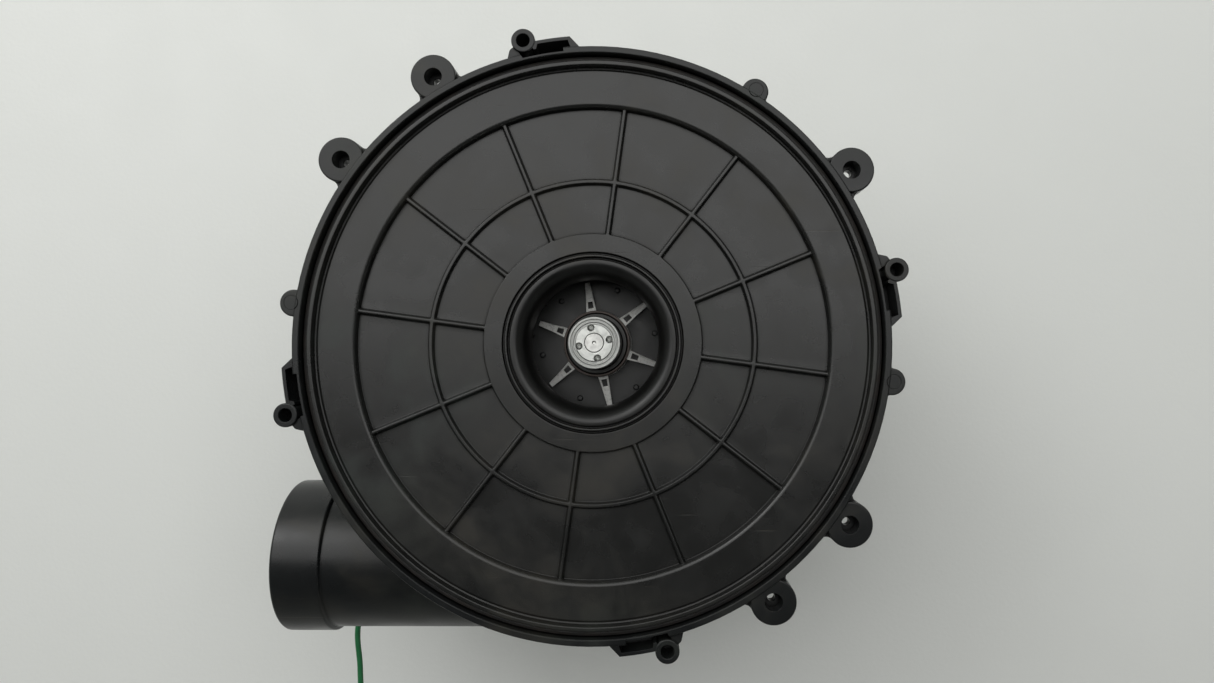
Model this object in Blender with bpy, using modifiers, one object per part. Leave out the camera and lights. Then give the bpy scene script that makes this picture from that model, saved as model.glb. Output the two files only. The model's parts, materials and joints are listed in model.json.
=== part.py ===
"""Combustion fan (furnace draft inducer): volute housing, ribbed inlet cover, impeller and rear motor.

Metres, +Z up.  The origin is on the shaft axis at the rear face of the motor's dust cap.
+Z points along the shaft towards the inlet, and -X points out of the outlet pipe.
"""

from math import acos, atan2, cos, pi, radians, sin

import bmesh
import bpy
from mathutils import Matrix, Vector

GAP = 0.0003
MERGE = 0.00001
# How far a cutter reaches past the face it opens.
OVER = 0.001

# Facets round a full turn, by size of the round.
LARGE = 42
MEDIUM = 24
SMALL = 16
TINY = 10

# Driving dimensions of the housing.
RIM_R = 0.122
RIM_Z = 0.160
FLANGE_HEIGHT = 0.0125
RIM_WALL = 0.0028
DECK_Z = RIM_Z - 0.010
FLOOR_Z = 0.088
WALL = 0.0025
FLOOR_WALL = 0.0035

# Scroll: the wall's outer radius grows clockwise, seen from the inlet, from the tongue to the outlet.
SCROLL_START_R = 0.0955
SCROLL_END_R = 0.1251
SCROLL_END_ANGLE = 270
TONGUE_ANGLE = 221.5
DECK_OPENING_R = 0.093
DOME_R = 0.036
DOME_FOOT_R = 0.047
DOME_RISE = 0.0125
SHAFT_HOLE_R = 0.007

# Outlet pipe, parallel to X.
PIPE_Y = -0.0942
PIPE_Z = 0.119
PIPE_R = 0.0309
PIPE_BORE_R = 0.0284
COLLAR_R = 0.0325
COLLAR_LENGTH = 0.0203
PIPE_END_X = -0.1338
LOFT_END_X = -0.057

# Fastening points round the rim: angles in degrees, centre radius, lobe radius and fillet radius.
EAR_ANGLES = (33.6, 121.0, 144.0, 305.1, 324.8)
EAR_LOBE = (0.1275, 0.0093, 0.0035)
EAR_COUNTERBORE_R = 0.0036
EAR_COUNTERBORE_DEPTH = 0.008
EAR_HOLE_R = 0.0018
TAB_ANGLES = (57.0, 172.5, 352.5)
TAB_LOBE = (0.1228, 0.0055, 0.0020)
BOSS_ANGLES = (13.4, 103.0, 193.4, 283.9)
BOSS_LOBE = (0.1276, 0.0049, 0.0025)
BOSS_HOLE_R = 0.00267
LATCH_WALL_R = 0.1265
LATCH_WALL = 0.0015
LATCH_SWEEP = 10.0
SCREW_BOSS_R = 0.0065
SCREW_BOSS_HEIGHT = 0.004
PILOT_R = 0.0023

# Inlet cover.
LIP_R = 0.1163
LIP_INNER_R = 0.1143
LIP_Z = RIM_Z - 0.0006
STEP_R = 0.0975
HUB_LAND_R = 0.0453
RING_RIB_R = 0.067
RIB_WIDTH = 0.0026
RIB_COUNT = 12
RIB_START_ANGLE = 22.3
BEAD_R = 0.0357
BELL_CREST_R = 0.0330
BELL_CREST_Z = 0.1535
BELL_DROP = 0.0125
THROAT_END_Z = 0.1375
THROAT_R = 0.0273
NECK_WALL = 0.0017
PANEL_OUTER_Z = 0.1528
PANEL_INNER_Z = 0.1508
RIB_HEIGHT = 0.002
COVER_WALL = 0.0023

# Impeller and hub.
IMPELLER_R = 0.085
EYE_R = 0.0295
BLADE_COUNT = 12
BLADE_START_ANGLE = 21.8
BLADE_SWEEP = 52.0
BLADE_INNER_R = 0.0302
BLADE_WIDTH = 0.0018
BACKPLATE_Z = 0.114
BACKPLATE_FLAT_R = 0.034
BACKPLATE_TIP_Z = 0.101
BACKPLATE_WALL = 0.0022
SHROUD_EYE_Z = 0.1412
SHROUD_TIP_Z = 0.1360
SHROUD_WALL = 0.0020
HUB_RING_R = 0.0134
HUB_RING_Z = 0.129
HUB_R = 0.0112
HUB_TOP_Z = 0.146
HUB_FLANGE_R = 0.0135
HUB_FLANGE_Z = 0.1085
HUB_HOLE_CIRCLE_R = 0.0066
HUB_HOLE_R = 0.0014
HUB_HOLE_ANGLE = 12.3
FIN_COUNT = 6
FIN_START_ANGLE = 40.5
FIN_END_R = 0.0288
FIN_ROOT_WIDTH = 0.0044
FIN_TIP_WIDTH = 0.0024

# Shaft and motor.
SHAFT_R = 0.0040
BEARING_BORE_R = 0.0041
ON_SHAFT_R = SHAFT_R + GAP
SHAFT_BOTTOM_Z = 0.005
SHAFT_TOP_Z = 0.1462
MOTOR_R = 0.042
MOTOR_SHELL_R = 0.039
STATOR_BORE_R = 0.0207
ROTOR_R = 0.0202
CAGE_BARS = 6
CAGE_BAR_START_ANGLE = 7
CAGE_BAR_CIRCLE_R = 0.0162
CAGE_BAR_R = 0.0014
CAGE_SLOT_R = 0.0019
CAGE_RING = (0.0190, 0.0100)
STATOR_Z = (0.0263, 0.0540)
END_TURNS = (0.0320, 0.0222)
BEARING_R = 0.0080
BEARING_Z = {"bearing_front": (0.0633, 0.0772), "bearing_rear": (0.0058, 0.0187)}
WASHER_R = 0.0075
WASHER_Z = {"thrust_washer_front": 0.0610, "thrust_washer_rear": 0.0196}
WASHER_WALL = 0.0014
REAR_BELL_Z = 0.0028
FAN_Z = 0.0865
FAN_R = 0.030
FAN_BLADES = 8
FAN_BLADE = (0.0225, 0.0014, 0.0070)
SLINGER_Z = 0.0962
SLINGER_R = 0.0135
BOLT_CIRCLE_R = 0.036
BOLT_ANGLES = (45, 135, 225, 315)
VENT_ANGLES = (0, 90, 180, 270)
BOLT_R = 0.0020
BOLT_HOLE_R = 0.0024
BOLT_Z = (0.0050, 0.0866)
BOLT_HEAD_R = 0.0038
BOLT_HEAD_Z = (0.0036, 0.0067)
NUT_R = 0.0040
NUT_Z = (0.0822, 0.0853)
MOTOR_PLATE_R = 0.066
MOTOR_PLATE_Z = (0.0804, 0.0819)
PLATE_SCREW_CIRCLE_R = 0.056
PLATE_SCREW_ANGLES = (0, 90, 180, 270)
ISOLATOR_R = 0.0075
ISOLATOR_WAIST_R = 0.0049
ISOLATOR_BORE_R = 0.0025
ISOLATOR_Z = (0.0786, 0.0837)

# Earth connection and motor leads.
GROUND_ANGLE = 225
GROUND_R = 0.059
GROUND_WIRE_R = 0.0014
GROUND_WIRE_WAYPOINTS = (
    (-0.0850, -0.0860, 0.0700),
    (-0.1130, -0.1160, 0.0620),
    (-0.1272, -0.1420, 0.0600),
    (-0.1265, -0.1660, 0.0600),
    (-0.1253, -0.1900, 0.0600),
)
LEAD_R = 0.0012
LEAD_Z = 0.0180
LEAD_EXIT_ANGLE = 113
LEAD_EXIT_R = 0.0046
PLUG_AT = (-0.0760, 0.0520, 0.0300)
PLUG_SIZE = (0.0140, 0.0220, 0.0090)
PLUG_ANGLE = 12

PARTS = None
CUTTERS = None


# ---------------------------------------------------------------- scene and helpers

def clear_scene():
    for obj in list(bpy.data.objects):
        bpy.data.objects.remove(obj, do_unlink=True)


def new_collection(name):
    collection = bpy.data.collections.new(name)
    bpy.context.scene.collection.children.link(collection)
    return collection


def material(name, color, roughness, metallic=0.0):
    made = bpy.data.materials.get(name)
    if made is None:
        made = bpy.data.materials.new(name)
        made.use_nodes = True
        shader = made.node_tree.nodes["Principled BSDF"]
        shader.inputs["Base Color"].default_value = (*color, 1.0)
        shader.inputs["Roughness"].default_value = roughness
        shader.inputs["Metallic"].default_value = metallic
    return made


def finish(obj, made, parent=None):
    """Gives a sub-part its material, smooth round sides and, on the rotor, its parent empty."""
    obj.data.materials.clear()
    obj.data.materials.append(made)
    if obj.type == "MESH" and obj.data.polygons:
        obj.data.shade_smooth()
        obj.data.set_sharp_from_angle(angle=radians(35))
    if parent is not None:
        obj.parent = parent
    return obj


def as_helper(obj):
    """Turns an object into a hidden shape that only a Boolean uses."""
    for collection in list(obj.users_collection):
        collection.objects.unlink(obj)
    CUTTERS.objects.link(obj)
    obj.hide_render = True
    obj.display_type = "WIRE"
    return obj


def boolean(target, operation, *helpers):
    for helper in helpers:
        modifier = target.modifiers.new(helper.name, "BOOLEAN")
        modifier.operation = operation
        modifier.solver = "EXACT"
        modifier.object = as_helper(helper)
    return target


def cut(target, *helpers):
    return boolean(target, "DIFFERENCE", *helpers)


def join(target, *helpers):
    return boolean(target, "UNION", *helpers)


def merge_flat_faces(obj):
    """Merges the coplanar faces that Booleans leave behind."""
    modifier = obj.modifiers.new("Flat faces", "DECIMATE")
    modifier.decimate_type = "DISSOLVE"
    modifier.angle_limit = radians(0.2)


def link_mesh(name, mesh):
    obj = bpy.data.objects.new(name, mesh)
    PARTS.objects.link(obj)
    return obj


def polar(radius, degrees, height=0.0):
    angle = radians(degrees)
    return Vector((radius * cos(angle), radius * sin(angle), height))


def turned(name, profile, steps=MEDIUM):
    """Turned solid about Z from (radius, height) points that run down the outer side.

    A profile that starts and ends on the axis stays open there.  Any other is closed into a ring.
    """
    mesh = bpy.data.meshes.new(name)
    count = len(profile)
    edges = [(i, i + 1) for i in range(count - 1)]
    if profile[0][0] > 0 or profile[-1][0] > 0:
        edges.append((count - 1, 0))
    mesh.from_pydata([(radius, 0.0, height) for radius, height in profile], edges, [])
    obj = link_mesh(name, mesh)
    screw = obj.modifiers.new("Turn", "SCREW")
    screw.steps = screw.render_steps = steps
    screw.use_merge_vertices = True
    screw.merge_threshold = MERGE
    screw.use_smooth_shade = True
    return obj


def ring(name, outer, inner, low, high, steps=MEDIUM):
    return turned(name, [(outer, high), (outer, low), (inner, low), (inner, high)], steps)


def disc(name, radius, low, high, steps=MEDIUM):
    return turned(name, [(0.0, high), (radius, high), (radius, low), (0.0, low)], steps)


def rod(name, radius, start, end, steps=TINY):
    """Solid cylinder between two points."""
    start, end = Vector(start), Vector(end)
    mesh = bpy.data.meshes.new(name)
    shape = bmesh.new()
    bmesh.ops.create_cone(
        shape, cap_ends=True, segments=steps, radius1=radius, radius2=radius, depth=(end - start).length,
    )
    shape.to_mesh(mesh)
    shape.free()
    obj = link_mesh(name, mesh)
    turn = (end - start).to_track_quat("Z", "Y").to_matrix().to_4x4()
    obj.matrix_world = Matrix.Translation((start + end) / 2) @ turn
    return obj


def block(name, size, centre, degrees=0.0):
    """Box of the given size, turned about Z."""
    mesh = bpy.data.meshes.new(name)
    shape = bmesh.new()
    bmesh.ops.create_cube(shape, size=1.0, matrix=Matrix.Diagonal((*size, 1.0)))
    shape.to_mesh(mesh)
    shape.free()
    obj = link_mesh(name, mesh)
    obj.location = centre
    obj.rotation_euler = (0.0, 0.0, radians(degrees))
    return obj


def hull(name, points):
    """Convex solid round the given points."""
    mesh = bpy.data.meshes.new(name)
    shape = bmesh.new()
    for point in points:
        shape.verts.new(point)
    made = bmesh.ops.convex_hull(shape, input=list(shape.verts))
    inside = [item for item in made["geom_interior"] if isinstance(item, bmesh.types.BMVert)]
    bmesh.ops.delete(shape, geom=inside, context="VERTS")
    bmesh.ops.recalc_face_normals(shape, faces=list(shape.faces))
    shape.to_mesh(mesh)
    shape.free()
    return link_mesh(name, mesh)


def meshed(curve_object):
    """Replaces a curve object with its welded mesh, so that a Boolean can use it."""
    bpy.context.view_layer.update()
    graph = bpy.context.evaluated_depsgraph_get()
    mesh = bpy.data.meshes.new_from_object(curve_object.evaluated_get(graph))
    shape = bmesh.new()
    shape.from_mesh(mesh)
    bmesh.ops.remove_doubles(shape, verts=list(shape.verts), dist=MERGE)
    shape.to_mesh(mesh)
    shape.free()
    name = curve_object.name
    place = curve_object.matrix_world.copy()
    bpy.data.objects.remove(curve_object, do_unlink=True)
    obj = link_mesh(name, mesh)
    obj.matrix_world = place
    return obj


def plate(name, outlines, low, high):
    """Flat solid between two heights.  The first outline is the edge and the others are holes."""
    curve = bpy.data.curves.new(name, "CURVE")
    curve.dimensions = "2D"
    curve.fill_mode = "BOTH"
    curve.extrude = (high - low) / 2
    for outline in outlines:
        spline = curve.splines.new("POLY")
        spline.points.add(len(outline) - 1)
        for point, (x, y) in zip(spline.points, outline):
            point.co = (x, y, 0.0, 1.0)
        spline.use_cyclic_u = True
    obj = link_mesh(name, curve)
    obj.location.z = (low + high) / 2
    return meshed(obj)


def wire(name, radius, points):
    """Round wire through the given points."""
    curve = bpy.data.curves.new(name, "CURVE")
    curve.dimensions = "3D"
    curve.bevel_depth = radius
    curve.bevel_resolution = 2
    curve.use_fill_caps = True
    spline = curve.splines.new("POLY")
    spline.points.add(len(points) - 1)
    for point, place in zip(spline.points, points):
        point.co = (*place, 1.0)
    return meshed(link_mesh(name, curve))


def smooth_path(corners, per_span=6):
    """Catmull-Rom path through the corners."""
    ends = [2 * corners[0] - corners[1], *corners, 2 * corners[-1] - corners[-2]]
    path = []
    for a, b, c, d in zip(ends, ends[1:], ends[2:], ends[3:]):
        for step in range(per_span):
            t = step / per_span
            square = (2 * a - 5 * b + 4 * c - d) * t**2
            cubic = (3 * b - a - 3 * c + d) * t**3
            path.append(0.5 * (2 * b + (c - a) * t + square + cubic))
    return [*path, corners[-1]]


def circle(centre, radius, count=TINY):
    return arc(centre, radius, 0.0, 2 * pi * (count - 1) / count, count)


def arc(centre, radius, start, end, count):
    """Points on an arc from one angle to another, in radians."""
    angles = [start + (end - start) * i / (count - 1) for i in range(count)]
    return [(centre[0] + radius * cos(a), centre[1] + radius * sin(a)) for a in angles]


def sector(inner, outer, first, last, count=3):
    """Outline of a ring sector, angles in degrees."""
    return arc((0, 0), outer, radians(first), radians(last), count) + arc(
        (0, 0), inner, radians(last), radians(first), count
    )


# ---------------------------------------------------------------- housing

def lobe_points(angle, lobe):
    """Fillet, lobe arc and fillet of one lobe, with the rim angles where they start and end."""
    reach, radius, fillet = lobe
    outside = RIM_R + fillet
    spread = acos((outside**2 + reach**2 - (radius + fillet) ** 2) / (2 * outside * reach))
    turn = radians(angle)
    centre = (reach * cos(turn), reach * sin(turn))
    sides = []
    for side in (-1, 1):
        at = turn + side * spread
        fillet_centre = (outside * cos(at), outside * sin(at))
        to_lobe = atan2(centre[1] - fillet_centre[1], centre[0] - fillet_centre[0])
        to_rim = at + pi
        while to_rim - to_lobe > pi:
            to_rim -= 2 * pi
        while to_lobe - to_rim > pi:
            to_rim += 2 * pi
        sides.append((fillet_centre, to_rim, to_lobe))
    (low_centre, low_rim, low_lobe), (high_centre, high_rim, high_lobe) = sides
    first, last = low_lobe + pi, high_lobe + pi
    while last < first:
        last += 2 * pi
    while last - first > 2 * pi:
        last -= 2 * pi
    points = arc(low_centre, fillet, low_rim, low_lobe, 3)
    points += arc(centre, radius, first, last, 8)[1:-1]
    points += arc(high_centre, fillet, high_lobe, high_rim, 3)
    return turn - spread, points, turn + spread


def flange_outline():
    """Rim circle with its ears, tabs and latch bosses blended in."""
    lobes = [(angle, EAR_LOBE) for angle in EAR_ANGLES]
    lobes += [(angle, TAB_LOBE) for angle in TAB_ANGLES]
    lobes += [(angle, BOSS_LOBE) for angle in BOSS_ANGLES]
    made = [lobe_points(angle, lobe) for angle, lobe in sorted(lobes)]
    outline = []
    for (_, points, leave), (arrive, _, _) in zip(made, made[1:] + made[:1]):
        outline += points
        span = (arrive - leave) % (2 * pi)
        count = max(2, round(span / radians(360 / LARGE)) + 1)
        outline += arc((0, 0), RIM_R, leave, leave + span, count)[1:-1]
    return outline


def scroll_outline(inset):
    """Spiral wall of the scroll, closed by a chord across the outlet side."""
    travel = (TONGUE_ANGLE - SCROLL_END_ANGLE) % 360
    count = 36
    points = []
    for step in range(count + 1):
        share = step / count
        radius = SCROLL_START_R + (SCROLL_END_R - SCROLL_START_R) * share - inset
        at = polar(radius, TONGUE_ANGLE - travel * share)
        points.append((at.x, at.y))
    return points


def outlet_loft(name, half_width, mouth_radius, low, high):
    """Blend from the scroll's square section to the round pipe."""
    section = [(0.0, PIPE_Y + side * half_width, height) for side in (-1, 1) for height in (low, high)]
    mouth = [(LOFT_END_X, PIPE_Y + y, PIPE_Z + z) for y, z in circle((0, 0), mouth_radius, 24)]
    return hull(name, section + mouth)


def along_pipe(name, radius, first_x, last_x):
    return rod(name, radius, (first_x, PIPE_Y, PIPE_Z), (last_x, PIPE_Y, PIPE_Z), MEDIUM)


def flange_plate():
    """Rim flange with its lobes, and with the screw, latch and boss holes through it."""
    ear_holes = [circle(polar(EAR_LOBE[0], angle).xy, EAR_HOLE_R) for angle in EAR_ANGLES]
    boss_holes = [circle(polar(BOSS_LOBE[0], angle).xy, BOSS_HOLE_R) for angle in BOSS_ANGLES]
    bottom = RIM_Z - FLANGE_HEIGHT
    flange = plate("volute_housing", [flange_outline(), *ear_holes, *boss_holes], bottom, RIM_Z)
    for angle in EAR_ANGLES:
        seat = polar(EAR_LOBE[0], angle, RIM_Z - EAR_COUNTERBORE_DEPTH)
        mouth = polar(EAR_LOBE[0], angle, RIM_Z + OVER)
        cut(flange, rod("ear_counterbore", EAR_COUNTERBORE_R, seat, mouth))
    for angle in BOSS_ANGLES:
        wall = sector(RIM_R - LATCH_WALL, LATCH_WALL_R, angle - LATCH_SWEEP, angle - 1.0)
        join(flange, plate("latch_wall", [wall], bottom + 0.0005, RIM_Z - 0.001))
        pocket = sector(RIM_R - 0.0016, LATCH_WALL_R - LATCH_WALL, angle - LATCH_SWEEP + 2.5, angle - 2.6)
        cut(flange, plate("latch_pocket", [pocket], bottom - 0.0075, RIM_Z + OVER))
    return flange


def volute_housing():
    housing = flange_plate()
    scroll = plate("scroll_body", [scroll_outline(0.0)], FLOOR_Z, DECK_Z - 0.001)
    loft = outlet_loft("outlet_loft", PIPE_R, PIPE_R - 0.0002, FLOOR_Z + 0.0002, DECK_Z - 0.0012)
    pipe = along_pipe("outlet_pipe", PIPE_R, LOFT_END_X + 0.004, PIPE_END_X + 0.004)
    collar = along_pipe("outlet_collar", COLLAR_R, PIPE_END_X + COLLAR_LENGTH, PIPE_END_X)
    join(housing, scroll, loft, pipe, collar)
    boss_end = FLOOR_Z - SCREW_BOSS_HEIGHT
    for angle in PLATE_SCREW_ANGLES:
        boss_ends = [polar(PLATE_SCREW_CIRCLE_R, angle, z) for z in (boss_end, FLOOR_Z + 0.002)]
        pilot_ends = [polar(PLATE_SCREW_CIRCLE_R, angle, z) for z in (boss_end - OVER, FLOOR_Z + 0.0015)]
        join(housing, rod("screw_boss", SCREW_BOSS_R, *boss_ends))
        cut(housing, rod("boss_pilot", PILOT_R, *pilot_ends))
    hollow_out(housing)
    return finish(housing, material("black_moulded_plastic", (0.022, 0.023, 0.025), 0.42))


def hollow_out(housing):
    """Opens the rim pocket, the scroll chamber with its central dome, the outlet and the shaft hole."""
    inner_floor = FLOOR_Z + FLOOR_WALL
    chamber_top = DECK_Z - 0.0028
    cut(housing, disc("rim_pocket", RIM_R - RIM_WALL, DECK_Z, RIM_Z + OVER, LARGE))
    chamber = plate("scroll_chamber", [scroll_outline(WALL)], inner_floor, chamber_top)
    dome = turned("dome", [
        (SHAFT_HOLE_R, inner_floor + DOME_RISE), (DOME_R, inner_floor + DOME_RISE),
        (DOME_FOOT_R, inner_floor - OVER), (SHAFT_HOLE_R, inner_floor - OVER),
    ])
    cut(chamber, dome)
    cut(housing, chamber)
    cut(housing, outlet_loft("outlet_passage", PIPE_BORE_R - 0.0001, PIPE_BORE_R - 0.0003,
                             inner_floor + 0.0005, chamber_top - 0.0004))
    cut(housing, along_pipe("outlet_bore", PIPE_BORE_R, LOFT_END_X + 0.003, PIPE_END_X - OVER))
    cut(housing, rod("deck_opening", DECK_OPENING_R, (0, 0, DECK_Z - 0.004), (0, 0, DECK_Z + OVER), LARGE))
    cut(housing, turned("dome_recess", [
        (0.0, FLOOR_Z + DOME_RISE), (DOME_R - 0.002, FLOOR_Z + DOME_RISE),
        (DOME_FOOT_R - 0.0025, FLOOR_Z - OVER), (0.0, FLOOR_Z - OVER),
    ]))
    merge_flat_faces(housing)


# ---------------------------------------------------------------- inlet cover and seals

def bell_profile(steps=4):
    """Bell mouth from the crest down to the throat, a quarter ellipse."""
    points = []
    for step in range(steps + 1):
        angle = pi / 2 * step / steps
        points.append((
            BELL_CREST_R - (BELL_CREST_R - THROAT_R) * sin(angle),
            BELL_CREST_Z - BELL_DROP * (1 - cos(angle)),
        ))
    return points


def panel_z(radius):
    share = (radius - HUB_LAND_R) / (STEP_R - HUB_LAND_R)
    return PANEL_INNER_Z + (PANEL_OUTER_Z - PANEL_INNER_Z) * share


def inlet_cover():
    rib_inner, rib_outer = RING_RIB_R - RIB_WIDTH / 2, RING_RIB_R + RIB_WIDTH / 2
    neck_r = THROAT_R + NECK_WALL
    top = [
        (BEAD_R - 0.0011, 0.1530), (BEAD_R, 0.1541), (BEAD_R + 0.0013, 0.1527),
        (HUB_LAND_R, PANEL_INNER_Z + RIB_HEIGHT), (HUB_LAND_R, PANEL_INNER_Z),
        (rib_inner, panel_z(rib_inner)), (rib_inner, panel_z(rib_inner) + RIB_HEIGHT * 0.95),
        (rib_outer, panel_z(rib_outer) + RIB_HEIGHT * 0.95), (rib_outer, panel_z(rib_outer)),
        (STEP_R - 0.0007, PANEL_OUTER_Z), (STEP_R + 0.0012, 0.1548), (LIP_INNER_R - 0.0013, 0.1562),
        (LIP_INNER_R, LIP_Z), (LIP_R, LIP_Z),
    ]
    below = [
        (LIP_R, DECK_Z + GAP), (LIP_R - 0.0045, DECK_Z + GAP), (LIP_R - 0.0045, 0.1535),
        (STEP_R + 0.0025, 0.1525), (STEP_R, DECK_Z + GAP + 0.0001),
        (HUB_LAND_R, PANEL_INNER_Z - COVER_WALL), (BELL_CREST_R + 0.0030, 0.1495),
        (neck_r + 0.0035, 0.1460), (neck_r, 0.1415), (neck_r, THROAT_END_Z), (THROAT_R, THROAT_END_Z),
    ]
    cover = turned("inlet_cover", top + below + bell_profile()[::-1], LARGE)
    for k in range(RIB_COUNT):
        join(cover, cover_rib(RIB_START_ANGLE + 360 / RIB_COUNT * k))
    merge_flat_faces(cover)
    return finish(cover, material("black_cover_plastic", (0.024, 0.025, 0.027), 0.40))


def cover_rib(degrees):
    """Radial rib: a slim wedge that follows the panel's slope."""
    half = RIB_WIDTH / 2
    ends = ((HUB_LAND_R - 0.002, PANEL_INNER_Z), (STEP_R + 0.002, PANEL_OUTER_Z))
    points = [
        (radius, side * half, height + lift)
        for radius, height in ends for side in (-1, 1) for lift in (-0.001, RIB_HEIGHT)
    ]
    rib = hull("cover_rib", points)
    rib.rotation_euler.z = radians(degrees)
    return rib


def cover_seal():
    """Rubber ring at the bottom of the groove between the rim and the cover's lip."""
    outer = RIM_R - RIM_WALL - GAP
    inner = LIP_R + GAP
    seal = ring("cover_seal", outer, inner, DECK_Z + GAP, DECK_Z + 0.0062, LARGE)
    return finish(seal, material("black_rubber", (0.012, 0.012, 0.012), 0.75))


def shaft_seal():
    base = FLOOR_Z + FLOOR_WALL + DOME_RISE + GAP
    seal = turned("shaft_seal", [
        (0.0060, base + 0.0026), (0.0095, base + 0.0010), (0.0095, base), (0.0047, base),
        (0.0047, base + 0.0026),
    ], SMALL)
    return finish(seal, material("red_silicone", (0.30, 0.05, 0.03), 0.6))


# ---------------------------------------------------------------- impeller and hub

def blade_outline(start):
    """Plan outline of one backward-curved blade."""
    count = 6
    spine = []
    for step in range(count):
        share = step / (count - 1)
        radius = BLADE_INNER_R + (IMPELLER_R - 0.0006 - BLADE_INNER_R) * share
        spine.append(polar(radius, start + BLADE_SWEEP * share**0.8))
    left, right = [], []
    for i, at in enumerate(spine):
        along = spine[min(i + 1, count - 1)] - spine[max(i - 1, 0)]
        normal = Vector((-along.y, along.x, 0.0)).normalized() * BLADE_WIDTH / 2
        left.append(((at + normal).x, (at + normal).y))
        right.append(((at - normal).x, (at - normal).y))
    return right + left[::-1]


def impeller(rotor):
    floor_mid = BACKPLATE_Z - BACKPLATE_WALL / 2
    tip_mid = BACKPLATE_TIP_Z - BACKPLATE_WALL / 2
    bore = HUB_R + GAP
    wheel = turned("impeller", [
        (bore, HUB_RING_Z), (HUB_RING_R, HUB_RING_Z), (HUB_RING_R, BACKPLATE_Z),
        (BACKPLATE_FLAT_R, BACKPLATE_Z), (IMPELLER_R, BACKPLATE_TIP_Z),
        (IMPELLER_R, BACKPLATE_TIP_Z - BACKPLATE_WALL), (BACKPLATE_FLAT_R, BACKPLATE_Z - BACKPLATE_WALL),
        (bore, BACKPLATE_Z - BACKPLATE_WALL),
    ], 30)
    low, high = BACKPLATE_TIP_Z - 0.01, SHROUD_EYE_Z + 0.01
    blades = plate("blades", [blade_outline(BLADE_START_ANGLE)], low, high)
    for k in range(1, BLADE_COUNT):
        angle = BLADE_START_ANGLE + 360 / BLADE_COUNT * k
        join(blades, plate("blade", [blade_outline(angle)], low, high))
    eye_mid = SHROUD_EYE_Z - SHROUD_WALL / 2
    rim_mid = SHROUD_TIP_Z - SHROUD_WALL / 2
    channel = turned("blade_channel", [
        (EYE_R + 0.0005, eye_mid), (IMPELLER_R + OVER, rim_mid), (IMPELLER_R + OVER, tip_mid),
        (BACKPLATE_FLAT_R, floor_mid), (EYE_R + 0.0005, floor_mid),
    ], 30)
    boolean(blades, "INTERSECT", channel)
    shroud = turned("shroud", [
        (EYE_R + 0.0022, SHROUD_EYE_Z), (IMPELLER_R, SHROUD_TIP_Z),
        (IMPELLER_R, SHROUD_TIP_Z - SHROUD_WALL), (EYE_R + 0.0022, SHROUD_EYE_Z - SHROUD_WALL),
        (EYE_R, SHROUD_EYE_Z - SHROUD_WALL), (EYE_R, SHROUD_EYE_Z),
    ], 30)
    join(wheel, blades, shroud)
    return finish(wheel, material("black_wheel_plastic", (0.020, 0.020, 0.021), 0.45), rotor)


def hub_insert(rotor):
    """Aluminium hub pressed on the shaft, with four tool holes in its end."""
    land, step = 0.0077, 0.0095
    hub = turned("hub_insert", [
        (ON_SHAFT_R, HUB_TOP_Z), (land, HUB_TOP_Z), (land, HUB_TOP_Z - 0.0005), (step, HUB_TOP_Z - 0.0005),
        (step, HUB_TOP_Z - 0.0002), (HUB_R - 0.0004, HUB_TOP_Z - 0.0002), (HUB_R, HUB_TOP_Z - 0.0007),
        (HUB_R, HUB_FLANGE_Z + 0.0030), (HUB_FLANGE_R, HUB_FLANGE_Z + 0.0030), (HUB_FLANGE_R, HUB_FLANGE_Z),
        (ON_SHAFT_R, HUB_FLANGE_Z),
    ])
    for k in range(4):
        angle = HUB_HOLE_ANGLE + 90 * k
        ends = [polar(HUB_HOLE_CIRCLE_R, angle, z) for z in (HUB_TOP_Z - 0.005, HUB_TOP_Z + OVER)]
        cut(hub, rod("tool_hole", HUB_HOLE_R, *ends, 8))
    return finish(hub, material("turned_aluminium", (0.72, 0.73, 0.72), 0.32, 1.0), rotor)


def hub_spider(rotor):
    """Bright collar round the impeller's hub with six tapered fins that slope down to the back plate."""
    inner = HUB_RING_R + GAP
    foot = BACKPLATE_Z + GAP
    spider = ring("hub_spider", inner + 0.0012, inner, foot, HUB_RING_Z - 0.0008)
    for k in range(FIN_COUNT):
        degrees = FIN_START_ANGLE + 360 / FIN_COUNT * k
        root_r = inner + 0.0006
        points = [
            (radius, side * width / 2, height)
            for radius, width, heights in (
                (root_r, FIN_ROOT_WIDTH, (foot, HUB_RING_Z - 0.002)),
                (FIN_END_R, FIN_TIP_WIDTH, (foot, foot + 0.0014)),
            )
            for side in (-1, 1) for height in heights
        ]
        fin = hull("fin", points)
        slot = block("fin_slot", (0.0055, 0.0020, 0.03), (root_r + 0.0040, 0.0, foot + 0.0178))
        for piece in (fin, slot):
            piece.matrix_world = Matrix.Rotation(radians(degrees), 4, "Z") @ piece.matrix_basis
        join(spider, fin)
        cut(spider, slot)
    return finish(spider, material("bright_steel", (0.62, 0.62, 0.60), 0.3, 1.0), rotor)


# ---------------------------------------------------------------- rotor

def shaft(rotor):
    chamfer = 0.0004
    made = turned("shaft", [
        (0.0, SHAFT_TOP_Z), (SHAFT_R - chamfer, SHAFT_TOP_Z), (SHAFT_R, SHAFT_TOP_Z - chamfer),
        (SHAFT_R, SHAFT_BOTTOM_Z + chamfer), (SHAFT_R - chamfer, SHAFT_BOTTOM_Z), (0.0, SHAFT_BOTTOM_Z),
    ])
    return finish(made, material("ground_steel", (0.66, 0.66, 0.66), 0.22, 1.0), rotor)


def cage_rod(name, radius, number, beyond):
    """Rod on the line of one cage bar, reaching past both ends of the core."""
    angle = CAGE_BAR_START_ANGLE + 360 / CAGE_BARS * number
    ends = [polar(CAGE_BAR_CIRCLE_R, angle, z) for z in (STATOR_Z[0] - beyond, STATOR_Z[1] + beyond)]
    return rod(name, radius, *ends, 6)


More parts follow.
